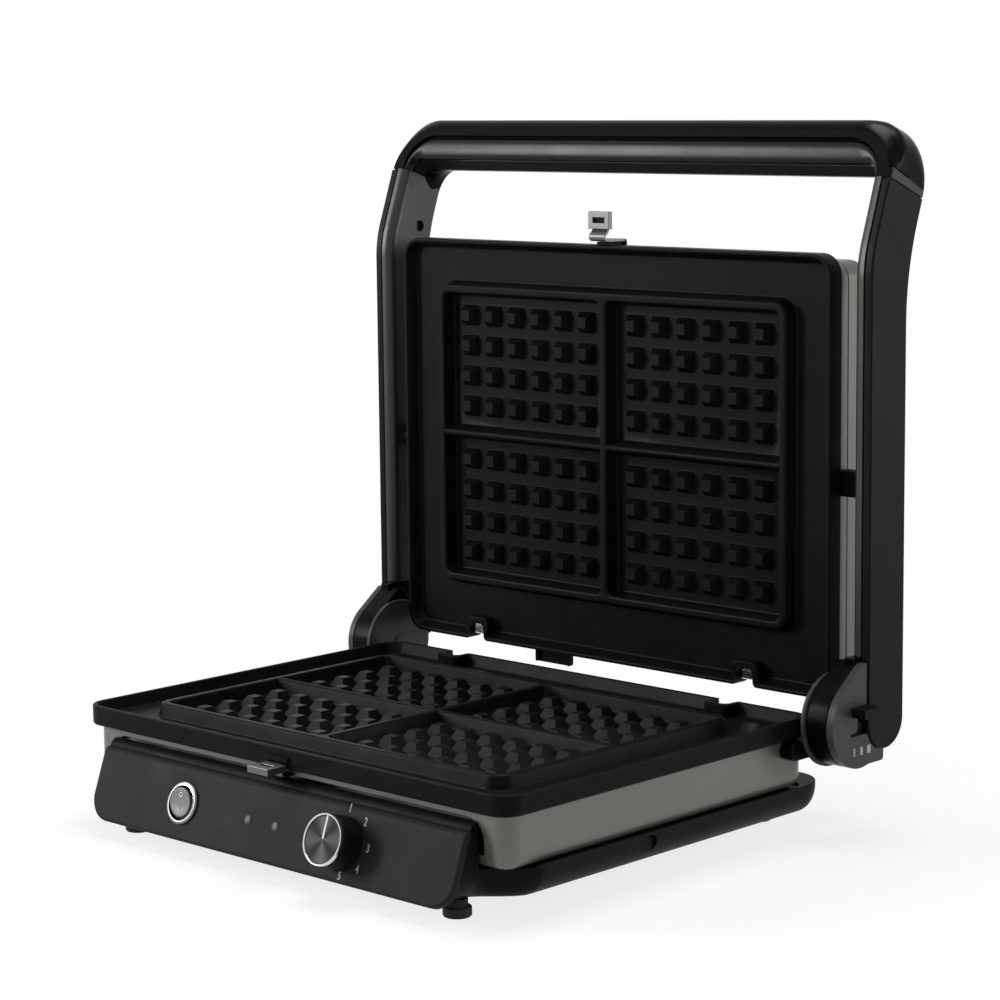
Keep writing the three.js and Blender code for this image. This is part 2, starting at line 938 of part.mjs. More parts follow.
function foot() {
  const neckTop = footHeight - seatGap;
  return turned([
    point(0, 0),
    point(footRadius - footChamfer, 0),
    point(footRadius, footChamfer),
    point(footRadius, footPadHeight),
    point(footNeckRadius, footPadHeight),
    point(footNeckRadius, neckTop),
    point(0, neckTop),
  ]);
}

// Control panel: a hollow wedge with a slanted face

const panelRun = panelFootForward - panelCrestForward;
const panelRise = panelFootDrop - panelCrestDrop;
const panelSlant = Math.atan2(panelRun, panelRise);

// The front of the tray's nose at a height: the panel's face, less its thickness
function noseFront(z) {
  const face = (z + panelCrestDrop) * (panelRun / panelRise) - panelCrestForward;
  return face + (panelWall + seatGap) / Math.cos(panelSlant);
}

function panelMatrix() {
  const group = new THREE.Group();
  placeOnPanel(group, 0, 0);
  group.updateMatrix();
  return group.matrix;
}

// Local X runs to the right, local Y up along the face and local Z out of it
function placeOnPanel(object, x, down) {
  object.position.set(
    x,
    -panelCrestForward - down * Math.sin(panelSlant),
    -panelCrestDrop - down * Math.cos(panelSlant),
  );
  object.rotation.x = quarterTurn - panelSlant;
}

function panelHole(radius, x) {
  const geometry = new THREE.CylinderGeometry(radius, radius, 2 * overrun, roundSides);
  geometry.rotateX(quarterTurn);
  geometry.translate(x, -controlRow, 0);
  geometry.applyMatrix4(panelMatrix());
  return solidOf(geometry);
}

// The panel's side outline: a slanted plate whose round crest turns back over the nose
function panelSection() {
  const slope = panelRun / panelRise;
  const through = panelWall / Math.cos(panelSlant);
  const faceAt = (z) => (z + panelCrestDrop) * slope - panelCrestForward;
  const top = -panelCrestDrop;
  const bottom = -panelFootDrop;
  const r = panelCrestRound;
  const centre = point(faceAt(top - r) + r * Math.cos(panelSlant), top - r);
  return [
    point(faceAt(bottom), bottom),
    point(faceAt(bottom) + through, bottom),
    point(faceAt(-noseTopDrop) + through, -noseTopDrop),
    point(faceAt(-noseTopDrop) + through, top),
    ...arcPoints(centre, r, quarterTurn, 2 * quarterTurn - panelSlant, cornerSteps),
  ];
}

function panelFrontOutline() {
  const r = panelCornerRound;
  const half = panelHalfWidth;
  const top = -panelCrestDrop + overrun;
  const bottom = -panelFootDrop;
  return [
    point(half, top),
    point(-half, top),
    ...arcPoints(point(-half + r, bottom + r), r, 2 * quarterTurn, 3 * quarterTurn, cornerSteps),
    ...arcPoints(point(half - r, bottom + r), r, -quarterTurn, 0, cornerSteps),
  ];
}

function controlPanel() {
  const plate = sideways(panelSection(), -panelHalfWidth, panelHalfWidth);
  const front = frontal(panelFrontOutline(), -panelFootForward - overrun, bandFromFront);
  const holes = [
    panelHole(bezelBarrelRadius + seatGap, -switchFromMiddle),
    panelHole(lampRadius + seatGap, -lampOneFromMiddle),
    panelHole(lampRadius + seatGap, lampTwoFromMiddle),
    panelHole(knobShaftRadius + seatGap, knobFromMiddle),
  ];
  return plate.intersect(front).subtract(joined(holes));
}

function switchBezel() {
  return turned([
    point(bezelBore, -panelWall),
    point(bezelBarrelRadius, -panelWall),
    point(bezelBarrelRadius, seatGap),
    point(bezelRadius, seatGap),
    point(bezelRadius, bezelProud / 2),
    point(bezelRadius - bezelProud / 2, bezelProud),
    point(bezelBore, bezelProud),
    point(bezelBore, -panelWall),
  ]);
}

function rockerButton() {
  return turned([
    point(0, -buttonThickness / 2),
    point(buttonRadius, -buttonThickness / 2),
    point(buttonRadius, buttonThickness / 2 - bite),
    point(buttonRadius - bite, buttonThickness / 2),
    point(0, buttonThickness / 2),
  ]);
}

function switchBody() {
  const top = -panelWall - seatGap;
  const half = switchBodyWidth / 2;
  const halfHeight = switchBodyHeight / 2;
  const hollow = upright(bezelBore - bezelProud, 0, 0, top - bezelProud, top + overrun);
  return block(-half, half, -halfHeight, halfHeight, top - switchBodyDepth, top).subtract(hollow);
}

function indicatorLens() {
  const back = -panelWall - seatGap;
  return turned([
    point(0, back - lampFlangeThickness),
    point(lampFlangeRadius, back - lampFlangeThickness),
    point(lampFlangeRadius, back),
    point(lampRadius, back),
    point(lampRadius, 0),
    point(lampRadius - lampProud, lampProud),
    point(0, lampProud),
  ]);
}

function knobBody() {
  const top = knobStandOff + knobHeight;
  const bore = upright(knobShaftRadius + seatGap, 0, 0, knobStandOff - overrun, knobBoreDepth + seatGap);
  return turned(
    [
      point(0, knobStandOff),
      point(knobBaseRadius, knobStandOff),
      point(knobFrontRadius, top),
      point(0, top),
    ],
    drumSides,
  ).subtract(bore);
}

function knobRing() {
  const bottom = knobStandOff + knobHeight + seatGap;
  const top = bottom + knobRingHeight;
  const inner = knobRingRadius - knobRingWidth;
  return turned(
    [
      point(inner, bottom),
      point(knobRingRadius, bottom),
      point(knobRingRadius, top - bite),
      point(knobRingRadius - bite, top),
      point(inner, top),
      point(inner, bottom),
    ],
    drumSides,
  );
}

function knobFace() {
  const bottom = knobStandOff + knobHeight + seatGap;
  const top = bottom + knobRingHeight - knobFaceDrop;
  return upright(knobRingRadius - knobRingWidth - seatGap, 0, 0, bottom, top, drumSides);
}

function knobShaft() {
  return upright(knobShaftRadius, 0, 0, -panelWall - seatGap, knobBoreDepth);
}

function thermostatBody() {
  const top = -panelWall - 2 * seatGap;
  const half = thermostatWidth / 2;
  const halfHeight = thermostatHeight / 2;
  return block(-half, half, -halfHeight, halfHeight, top - thermostatDepth, top);
}

// Pieces in the rear of the base

function terminalBlock() {
  const x = -terminalFromMiddle;
  const rear = bandRear - terminalFromRear;
  const floor = trayFloorTop + seatGap;
  const body = block(
    x - terminalWidth / 2,
    x + terminalWidth / 2,
    rear - terminalDepth,
    rear,
    floor,
    floor + terminalHeight,
  );
  const slot = block(
    x - terminalWidth / 2 - overrun,
    x + terminalWidth / 2 + overrun,
    rear - terminalDepth / 2 - bandWall,
    rear - terminalDepth / 2 + bandWall,
    floor + terminalHeight / 2,
    floor + terminalHeight + overrun,
  );
  return body.subtract(slot);
}

function cordGland() {
  const barrel = lengthwise(
    glandRadius,
    -terminalFromMiddle,
    trayRear - trayRearWall,
    trayRear + seatGap + glandFlangeThickness / 2,
    -glandDrop,
  );
  const flange = lengthwise(
    glandFlangeRadius,
    -terminalFromMiddle,
    trayRear + seatGap,
    trayRear + seatGap + glandFlangeThickness,
    -glandDrop,
  );
  const bore = lengthwise(
    glandBore,
    -terminalFromMiddle,
    trayRear - trayRearWall - overrun,
    trayRear + glandFlangeThickness + overrun,
    -glandDrop,
  );
  return barrel.add(flange).subtract(bore);
}

// A plate hook, a bent strip that stands at the band's rear wall and reaches into a notch
function plateHook(x) {
  const back = bandRear - bandWall - seatGap;
  const outline = [
    point(back, flangeTop + seatGap),
    point(back, -hookTopDrop),
    point(back - hookThickness - hookLip, -hookTopDrop),
    point(back - hookThickness - hookLip, -hookTopDrop - hookThickness),
    point(back - hookThickness, -hookTopDrop - hookThickness),
    point(back - hookThickness, flangeTop + seatGap),
  ].reverse();
  return sideways(outline, x - hookWidth / 2, x + hookWidth / 2);
}

// Hinge, drawn for the right side

function hingeBracket() {
  const discInner = bracketHalfGap;
  const discOuter = bracketHalfGap + bracketDiscThickness;
  const disc = crosswise(bracketDiscRadius, discInner, discOuter, hingeY, hingeZ, drumSides);
  const arm = block(
    bandHalf + seatGap,
    discInner + bite,
    bracketFromFront,
    bracketFromFront + bracketLength,
    -bracketDrop - bracketHeight,
    -bracketDrop,
  );
  const bore = crosswise(pinRadius + seatGap, discInner - overrun, discOuter + overrun, hingeY, hingeZ);
  return disc.add(arm).subtract(bore);
}

function hingePin() {
  const headInner = bracketHalfGap - seatGap - pinHeadThickness;
  const headOuter = bracketHalfGap - seatGap;
  const end = armInnerHalf + armThickness - pinEndGap;
  const head = crosswise(pinHeadRadius, headInner, headOuter, hingeY, hingeZ);
  const shaft = crosswise(pinRadius, headOuter - bite, end, hingeY, hingeZ);
  return head.add(shaft);
}

// The teardrop outline shared by the drum and its end cap
function teardropOutline() {
  const centre = point(hingeY, hingeZ);
  const tip = point(hingeY + drumTipBack, hingeZ + drumTipRise);
  const distance = Math.hypot(drumTipBack, drumTipRise);
  const towardsTip = Math.atan2(drumTipRise, drumTipBack);
  const spread = Math.acos(drumRadius / distance);
  const from = towardsTip + spread;
  const to = towardsTip - spread + 2 * Math.PI;
  return [tip, ...arcPoints(centre, drumRadius, from, to, drumSides)];
}

function hingeDrum() {
  const inner = bracketHalfGap + bracketDiscThickness + seatGap;
  const outer = armInnerHalf + armThickness;
  const front = hingeY + armFrontBack;
  const drum = sideways(teardropOutline(), inner, outer);
  const lug = block(inner, outer, hingeY, hingeY + drumLugBack, hingeZ - drumLugDrop, hingeZ);
  const neck = block(
    armInnerHalf,
    outer,
    hingeY,
    front + armDepth - bite,
    hingeZ - armCoverBottomDrop,
    hingeZ + armBottomRise - seatGap,
  );
  const bore = crosswise(pinRadius + seatGap, inner - overrun, outer + overrun, hingeY, hingeZ);
  return drum.add(lug).add(neck).subtract(bore);
}

function armCoverEnd() {
  const half = armDepth / 2;
  return point(hingeY + armFrontBack + half, hingeZ - armCoverBottomDrop);
}

function selectorSlot() {
  const inner = armInnerHalf + armThickness;
  const front = hingeY - selectorSlotForward;
  const top = hingeZ + selectorRise + selectorTabHeight / 2;
  const bottom = top - selectorTabHeight - selectorTravel - seatGap;
  const back = hingeY + drumTipBack + overrun;
  const x0 = inner - overrun;
  const x1 = inner + overrun + capThickness;
  const shaft = block(x0, x1, front, back, bottom, top);
  const branchFront = hingeY - selectorBranchForward;
  const branch = block(x0, x1, branchFront, hingeY, bottom, bottom + selectorBranchHeight);
  return shaft.add(branch);
}

function hingeCap(withSlot) {
  const inner = armInnerHalf + armThickness + seatGap;
  const outer = inner + capThickness;
  const cap = sideways(teardropOutline(), inner, outer);
  const end = armCoverEnd();
  const front = hingeY + armFrontBack - capCoverGap;
  const top = hingeZ + armBottomRise;
  const coverRoom = block(inner - overrun, outer + overrun, front, front + armDepth, end.y, top);
  const coverRound = crosswise(
    armDepth / 2 + capCoverGap,
    inner - overrun,
    outer + overrun,
    end.x,
    end.y,
    drumSides,
  );
  const trimmed = cap.subtract(coverRoom).subtract(coverRound);
  return withSlot ? trimmed.subtract(selectorSlot()) : trimmed;
}

// Arms: upright, then leaning back to the handle

// A spot in the leaning frame: along the lean from the front corner, and back from it
function leaning(along, back) {
  return point(
    hingeY + armFrontBack + along * Math.sin(lean) + back * Math.cos(lean),
    hingeZ + frontCornerRise + along * Math.cos(lean) - back * Math.sin(lean),
  );
}

// Round a corner at a spot where an upright line meets the leaning one
function bendPoints(corner, radius) {
  const tangent = radius * Math.tan(lean / 2);
  const centre = point(corner.x + radius, corner.y - tangent);
  return arcPoints(centre, radius, 2 * quarterTurn, 2 * quarterTurn - lean, bendSteps);
}

function armOutline(bottomPoints) {
  const frontCorner = point(hingeY + armFrontBack, hingeZ + frontCornerRise);
  const backX = frontCorner.x + armDepth;
  const backLine = leaning(0, slantThickness);
  const backCorner = point(backX, backLine.y - (backLine.x - backX) / Math.tan(lean));
  const outline = [
    ...bendPoints(frontCorner, frontBendRadius),
    leaning(armEndFromCorner, 0),
    leaning(armEndFromCorner, slantThickness),
    ...bendPoints(backCorner, backBendRadius).reverse(),
    ...bottomPoints,
  ];
  return outline.reverse();
}

function armCasting() {
  const front = hingeY + armFrontBack;
  const bottom = hingeZ + armBottomRise;
  const outline = armOutline([point(front + armDepth, bottom), point(front, bottom)]);
  const pivot = pivotPlace();
  const bore = crosswise(
    pivotRadius + seatGap,
    armInnerHalf - overrun,
    armInnerHalf + armThickness + overrun,
    pivot.x,
    pivot.y,
  );
  const holePlace = leaning(armHoleFromCorner, slantThickness * armHoleShare);
  const hole = crosswise(
    armHoleRadius,
    armInnerHalf - overrun,
    armInnerHalf + armThickness / 2,
    holePlace.x,
    holePlace.y,
  );
  return sideways(outline, armInnerHalf, armInnerHalf + armThickness).subtract(bore).subtract(hole);
}

function armCover() {
  const end = armCoverEnd();
  const inner = armInnerHalf + armThickness + seatGap;
  const bottomPoints = arcPoints(end, armDepth / 2, 0, -2 * quarterTurn, 2 * cornerSteps);
  return sideways(armOutline(bottomPoints), inner, inner + armCoverThickness);
}

const armOuterHalf = armInnerHalf + armThickness + seatGap + armCoverThickness;
const collarFromCorner = armEndFromCorner + seatGap;
const handleFromCorner = collarFromCorner + collarHeight + seatGap;

function armCollar() {
  const front = handleStrip + seatGap;
  const outline = [
    leaning(collarFromCorner, front),
    leaning(collarFromCorner, slantThickness),
    leaning(collarFromCorner + collarHeight, slantThickness),
    leaning(collarFromCorner + collarHeight, front),
  ];
  return sideways(outline, armInnerHalf + armThickness + seatGap, armOuterHalf);
}

// Handle, drawn flat with its local Z along the depth and then leaned back

// One level of the handle's outside. Its corners keep one centre height as the rounds go in.
function handleLevel(z, side, drop) {
  const top = collarFromCorner + handleHeight - drop;
  const half = armOuterHalf - side;
  const radius = top - handleCornerCentre;
  const low = handleCornerCentre - 2 * radius;
  return { z, x0: -half, x1: half, y0: low, y1: top, radius };
}

function handleOuter() {
  const levels = [];
  for (let i = 0; i <= cornerSteps; i += 1) {
    const angle = (quarterTurn * i) / cornerSteps;
    const inward = 1 - Math.sin(angle);
    const rise = 1 - Math.cos(angle);
    levels.push(handleLevel(handleFrontRound * rise, handleSideFront * inward, handleFrontRound * inward));
  }
  for (let i = cornerSteps; i >= 0; i -= 1) {
    const angle = (quarterTurn * i) / cornerSteps;
    const inward = 1 - Math.sin(angle);
    const rise = 1 - Math.cos(angle);
    const z = slantThickness - handleRearRound * rise;
    levels.push(handleLevel(z, handleSideRear * inward, handleRearRound * inward));
  }
  return layered(levels);
}

// The opening under the bar, between the arms. Its top rises towards the rear.
function handleOpening() {
  const half = armInnerHalf - seatGap;
  const levels = [];
  for (let i = -1; i <= cornerSteps; i += 1) {
    const angle = (quarterTurn * Math.max(i, 0)) / cornerSteps;
    const top = handleBarBottom + handleBarRearRound * (1 - Math.cos(angle));
    const back = slantThickness - handleBarRearRound * (1 - Math.sin(angle));
    const z = i < 0 ? -overrun : back;
    const low = handleBarBottom - 2 * handleHeight;
    levels.push({ z, x0: -half, x1: half, y0: low, y1: top, radius: handleGusset });
  }
  const last = levels[levels.length - 1];
  levels.push({ ...last, z: slantThickness + overrun });
  return layered(levels);
}

// What the legs leave free: the arm castings inside, the collars outside, and all below
function handleLegRoom(side) {
  const inner = armInnerHalf - seatGap - bite;
  const split = armInnerHalf + armThickness + seatGap;
  const outer = armOuterHalf + overrun;
  const low = collarFromCorner - 2 * handleHeight;
  const slab = (x0, x1, top, z0) =>
    block(
      Math.min(side * x0, side * x1),
      Math.max(side * x0, side * x1),
      low,
      top,
      z0,
      slantThickness + overrun,
    );
  const below = slab(inner, outer, collarFromCorner, -overrun);
  const beside = slab(split - seatGap, outer, handleFromCorner, handleStrip);
  return below.add(beside);
}

function handleWhole() {
  const half = armInnerHalf - seatGap;
  const socketPlaces = [gripSocketLeft - half, half - gripSocketRight];
  const sockets = socketPlaces.map((x) => gripSocket(x, handleBarBottom));
  const below = block(
    -half - bite,
    half + bite,
    collarFromCorner - 2 * handleHeight,
    collarFromCorner,
    -overrun,
    slantThickness + overrun,
  );
  return handleOuter()
    .subtract(handleOpening())
    .subtract(below)
    .subtract(handleLegRoom(1))
    .subtract(handleLegRoom(-1))
    .subtract(joined(sockets));
}

function gripSocket(x, barBottom) {
  const r = gripSocketRadius;
  const geometry = new THREE.CylinderGeometry(r, r, 2 * gripSocketDepth, roundSides);
  geometry.translate(x, barBottom, slantThickness / 4);
  return solidOf(geometry);
}

// The leaning frame of the handle: local Y along the lean, local Z to the front
function leanMatrix() {
  const corner = leaning(0, 0);
  const along = new THREE.Vector3(0, Math.sin(lean), Math.cos(lean));
  const across = new THREE.Vector3(-1, 0, 0);
  const back = new THREE.Vector3(0, Math.cos(lean), -Math.sin(lean));
  return new THREE.Matrix4()
    .makeBasis(across, along, back)
    .setPosition(new THREE.Vector3(0, corner.x, corner.y));
}

function handleShell(z0, z1) {
  const outerHalf = armOuterHalf + overrun;
  const reach = collarFromCorner + handleHeight + overrun;
  return handleWhole().intersect(block(-outerHalf, outerHalf, 0, reach, z0, z1));
}

// Lid pivots

function pivotPlace() {
  const alongY = hingeY + (closedRimGap + pivotDrop + hingeDrop);
  const alongZ = hingeZ + (hingeY - pivotFromFront);
  return point(alongY, alongZ);
}

function pivotPin() {
  const pivot = pivotPlace();
  const end = armInnerHalf + armThickness;
  return crosswise(pivotRadius, end - armThickness - pivotPinSpan, end, pivot.x, pivot.y);
}

// Drawn in the plate frame of the lid, for its right side as seen there
function pivotBlock() {
  const inner = bandHalf + seatGap;
  const body = block(
    inner,
    inner + pivotBlockLength,
    pivotFromFront - pivotBlockWidth / 2,
    pivotFromFront + pivotBlockWidth / 2,
    -pivotDrop - pivotBlockHeight / 2,
    -pivotDrop + pivotBlockHeight / 2,
  );
  const bore = crosswise(
    pivotRadius + seatGap,
    inner - overrun,
    inner + pivotBlockLength + overrun,
    pivotFromFront,
    -pivotDrop,
  );
  return body.subtract(bore);
}

// Plate latches, bent from sheet: a head outside, a lip in the plate's slot and a run
// through the slot in the band

function latchNeck(headLevel) {
  const front = -latchNeckForward;
  const outline = [
    point(front, headLevel),
    point(front, -latchRunDrop - latchSheet),
    point(latchRunBack, -latchRunDrop - latchSheet),
    point(latchRunBack, -latchRunDrop),
    point(front + latchSheet, -latchRunDrop),
    point(front + latchSheet, -latchLipDrop - latchLipHeight),
    point(latchLipReach, -latchLipDrop - latchLipHeight),
    point(latchLipReach, -latchLipDrop),
    point(front + latchSheet, -latchLipDrop),
    point(front + latchSheet, headLevel),
  ];
  return sideways(outline, -latchNeckHalfWidth, latchNeckHalfWidth);
}

function latchHead(y0, y1, z0, z1) {
  const half = latchHalfWidth;
  const room = block(
    -half + latchSheet,
    half - latchSheet,
    y0 + latchSheet,
    y1 + overrun,
    z0 - overrun,
    z1 - latchSheet,
  );
  const middle = (y0 + y1) / 2;
  const window = block(
    -latchWindowHalfWidth,
    latchWindowHalfWidth,
    middle - latchWindowLength / 2,
    middle + latchWindowLength / 2,
    z0,
    z1 + overrun,
  );
  return block(-half, half, y0, y1, z0, z1).subtract(room).subtract(window);
}

function lowerLatch() {
  const top = -lowerHeadDrop;
  const head = latchHead(-lowerHeadForward, -latchNeckForward + latchSheet, top - lowerHeadHeight, top);
  return head.add(latchNeck(top));
}

function upperLatch() {
  const head = latchHead(-upperHeadForward, -upperHeadBack, 0, upperHeadRise);
  const neckTop = upperHeadRise - latchSheet;
  const front = -latchNeckForward;
  const half = latchNeckHalfWidth;
  const link = sideways(
    [
      point(-upperHeadBack - latchSheet, neckTop),
      point(-upperHeadBack, neckTop),
      point(front, -lugDrop),
      point(front + latchSheet, -lugDrop),
      point(front + latchSheet, -lugDrop + latchSheet),
      point(-upperHeadBack, upperHeadRise),
      point(-upperHeadBack - latchSheet, upperHeadRise),
    ],
    -half,
    half,
  );
  return head.add(link).add(latchNeck(-lugDrop + bite));
}

function selectorLever() {
  const faceX = armInnerHalf + armThickness + seatGap + capThickness;
  const z = hingeZ + selectorRise;
  const stemFront = hingeY - selectorSlotForward + seatGap;
  const tabRear = hingeY + armFrontBack - capCoverGap;
  const tab = block(
    faceX + seatGap,
    faceX + selectorTabReach,
    tabRear - selectorTabWidth,
    tabRear,
    z - selectorTabHeight / 2,
    z + selectorTabHeight / 2,
  );
  const stem = block(
    faceX - selectorStemDepth,
    faceX + seatGap + bite,
    stemFront,
    stemFront + selectorStemWidth,
    z - selectorTabHeight / 2 + seatGap,
    z + selectorTabHeight / 2 - seatGap,
  );
  return tab.add(stem);
}

// Assembly. Each left piece is the right one mirrored.

function addPair(group, name, solid, material) {
  addPiece(group, name + "_right", solid, material);
  addPiece(group, name + "_left", solid.mirror([1, 0, 0]), material);
}

function buildBase() {
  const base = new THREE.Group();
  addPiece(base, "base_tray", baseTray(), matteBlack);
  addPiece(base, "control_panel", controlPanel(), panelGrey);
  addPiece(base, "lower_housing", lowerHousing(), olivePaint);
  addPiece(base, "lower_reflector", reflectorPan(), steel);
  addPiece(base, "lower_heating_element", heatingElement(), steel);
  addPiece(base, "lower_plate", wafflePlate(), castBlack);
  addPiece(base, "lower_hook_right", plateHook(notchFromMiddle), chrome);
  addPiece(base, "lower_hook_left", plateHook(-notchFromMiddle), chrome);
  addPiece(base, "lower_latch", lowerLatch(), chrome);
  addPiece(base, "terminal_block", terminalBlock(), plasticBeige);
  addPiece(base, "cord_gland", cordGland(), rubberBlack);
  addPair(base, "hinge_bracket", hingeBracket(), glossBlack);
  addPair(base, "hinge_pin", hingePin(), steel);
  const feet = [
    ["foot_front_right", frontFootFromMiddle, frontFootFromFront],
    ["foot_front_left", -frontFootFromMiddle, frontFootFromFront],
    ["foot_rear_right", rearFootFromMiddle, rearFootFromFront],
    ["foot_rear_left", -rearFootFromMiddle, rearFootFromFront],
  ];
  for (const [name, x, y] of feet) {
    addPiece(base, name, foot(), rubberBlack).position.set(x, y, trayBottom - footHeight);
  }
  return base;
}

function buildControls() {
  const controls = new THREE.Group();
  const at = (x) => {
    const spot = new THREE.Group();
    placeOnPanel(spot, x, controlRow);
    controls.add(spot);
    return spot;
  };
  const switchSpot = at(-switchFromMiddle);
  addPiece(switchSpot, "switch_bezel", switchBezel(), chrome);
  addPiece(switchSpot, "switch_body", switchBody(), matteBlack);
  const button = addPiece(switchSpot, "rocker_button", rockerButton(), coverGrey);
  button.rotation.x = THREE.MathUtils.degToRad(buttonTilt);
  addPiece(at(-lampOneFromMiddle), "power_lens", indicatorLens(), lampGrey);
  addPiece(at(lampTwoFromMiddle), "ready_lens", indicatorLens(), lampGrey);
  const knobSpot = at(knobFromMiddle);
  addPiece(knobSpot, "knob_body", knobBody(), matteBlack);
  addPiece(knobSpot, "knob_ring", knobRing(), chrome);
  addPiece(knobSpot, "knob_face", knobFace(), spunMetal);
  addPiece(knobSpot, "knob_shaft", knobShaft(), steel);
  addPiece(knobSpot, "thermostat_body", thermostatBody(), steel);
  return controls;
}

function buildLidFrame() {
  const frame = new THREE.Group();
  addPair(frame, "hinge_drum", hingeDrum(), glossBlack);
  addPair(frame, "arm", armCasting(), glossBlack);
  addPair(frame, "arm_cover", armCover(), coverGrey);
  addPair(frame, "arm_collar", armCollar(), collarGrey);
  addPair(frame, "lid_pivot_pin", pivotPin(), steel);
  addPiece(frame, "hinge_cap_right", hingeCap(true), capGrey);
  addPiece(frame, "hinge_cap_left", hingeCap(false).mirror([1, 0, 0]), capGrey);
  addPiece(frame, "thickness_selector", selectorLever(), matteBlack);
  const leaned = new THREE.Group();
  leaned.applyMatrix4(leanMatrix());
  const split = slantThickness / 2;
  addPiece(leaned, "handle_front", handleShell(-overrun, split - seatGap / 2), glossBlack);
  addPiece(leaned, "handle_rear", handleShell(split + seatGap / 2, slantThickness + overrun), glossBlack);
  frame.add(leaned);
  return frame;
}

// The lid is the lower half turned over onto the closed rim gap, then swung up on the hinge
function buildLid() {
  const turnedOver = new THREE.Group();
  turnedOver.position.set(0, -hingeY, closedRimGap - hingeZ);
  turnedOver.rotation.y = Math.PI;
  addPiece(turnedOver, "lid_housing", upperHousing(), olivePaint);
  addPiece(turnedOver, "lid_cover", lidCover(), olivePaint);
  addPiece(turnedOver, "upper_reflector", reflectorPan(), steel);
  addPiece(turnedOver, "upper_heating_element", heatingElement(), steel);
  addPiece(turnedOver, "upper_plate", wafflePlate(), castBlack);
  addPiece(turnedOver, "upper_hook_left", plateHook(notchFromMiddle), chrome);
  addPiece(turnedOver, "upper_hook_right", plateHook(-notchFromMiddle), chrome);
  addPiece(turnedOver, "upper_latch", upperLatch(), chrome);
  addPiece(turnedOver, "lid_pivot_block_left", pivotBlock(), matteBlack);
  addPiece(turnedOver, "lid_pivot_block_right", pivotBlock().mirror([1, 0, 0]), matteBlack);
  const lid = new THREE.Group();
  lid.position.set(0, hingeY, hingeZ);
  lid.rotation.x = -quarterTurn;
  lid.add(turnedOver);
  return lid;
}

// The origin lies under the middle of the whole outline, on the floor
const maker = new THREE.Group();
maker.add(buildBase(), buildControls(), buildLidFrame(), buildLid());
const outline = new THREE.Box3().setFromObject(maker, true);
maker.position.set(
  -(outline.min.x + outline.max.x) / 2,
  -(outline.min.y + outline.max.y) / 2,
  -outline.min.z,
);

export default maker;
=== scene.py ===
"""Looks of the waffle maker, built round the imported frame. Lengths are millimetres in the plate
frame: Y is zero at the lower plate's front edge and Z is zero at its rim. at() turns them into
the row frame in metres."""
import math

import bmesh
import bpy
from mathutils import Matrix, Vector
from mathutils.geometry import tessellate_polygon


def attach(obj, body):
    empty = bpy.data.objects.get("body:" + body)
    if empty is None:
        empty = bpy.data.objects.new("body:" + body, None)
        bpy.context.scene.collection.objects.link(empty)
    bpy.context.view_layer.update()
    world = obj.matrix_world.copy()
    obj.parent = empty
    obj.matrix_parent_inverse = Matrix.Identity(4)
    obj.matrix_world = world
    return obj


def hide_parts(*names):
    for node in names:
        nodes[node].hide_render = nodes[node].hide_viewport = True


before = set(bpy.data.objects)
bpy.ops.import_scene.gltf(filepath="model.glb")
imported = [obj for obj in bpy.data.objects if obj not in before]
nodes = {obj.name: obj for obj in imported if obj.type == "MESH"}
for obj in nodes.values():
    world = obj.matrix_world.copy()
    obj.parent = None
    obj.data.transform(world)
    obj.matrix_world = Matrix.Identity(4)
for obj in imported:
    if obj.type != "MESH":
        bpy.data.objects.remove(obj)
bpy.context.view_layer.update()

MM = 0.001
MERGE_DISTANCE = 2e-6
SIDES = ((1, "right"), (-1, "left"))

# Main sizes and places

PLATE_HEIGHT = 62.0
ORIGIN = Vector((-3.85, -129.7018, PLATE_HEIGHT))  # of the plate frame, in the row frame
CLEARANCE = 0.3
LID_Y, LID_Z = 235.5, 229.0  # zero point of the turned lid's own frame
HINGE_Y, HINGE_Z = 231.5, -2.5
PIVOT_Y, PIVOT_Z = 251, 114
PANEL_RUN, PANEL_DROP = 12.6, 34.8
PANEL_SLANT = math.atan2(PANEL_RUN, PANEL_DROP)
PANEL_Y, PANEL_Z = -3.4, -18.4  # upper edge
PANEL_MIDDLE = 18.6  # down the slant, to the switch, the lamps and the knob
PANEL_HALF = 129
SWITCH_X, KNOB_X = -60.7, 54
DIAL_FACE = 12.3  # from the panel to the underside of the knob's face
REAR_WALL = 241.5
GLAND_X, GLAND_Z = -60, -44.8
HOOK_X = 96
LEAN_DEGREES = 19.5
LEAN = math.radians(LEAN_DEGREES)
ARM_FRONT, ARM_BACK, ARM_DEPTH = 237, 266.2, 30
ARM_FOOT_Z, BEND_Z = 30, 226.8


def at(x, y, z):
    return (Vector((x, y, z)) + ORIGIN) * MM


# Places: each turns a piece's own coordinates into plate frame millimetres

def plain(x, y, z):
    return x, y, z


def lidded(x, y, z):
    """The lid is the lower half turned over."""
    return -x, LID_Y - z, LID_Z - y


def moved(x0, y0, z0):
    return lambda x, y, z: (x0 + x, y0 + y, z0 + z)


def sideways(side=1, y0=0, z0=0):
    """For shapes drawn in Y and Z, whose third coordinate runs out along X."""
    return lambda y, z, x: (side * x, y0 + y, z0 + z)


def lengthways(x0=0, y0=0, z0=0):
    """For shapes drawn in X and Z, whose third coordinate runs back along Y."""
    return lambda x, z, y: (x0 + x, y0 + y, z0 + z)


def crossed(place):
    """For shapes drawn in a place's Y and Z, whose third coordinate is its X."""
    return lambda y, z, x: place(x, y, z)


def on_hinge(side=1):
    return sideways(side, HINGE_Y, HINGE_Z)


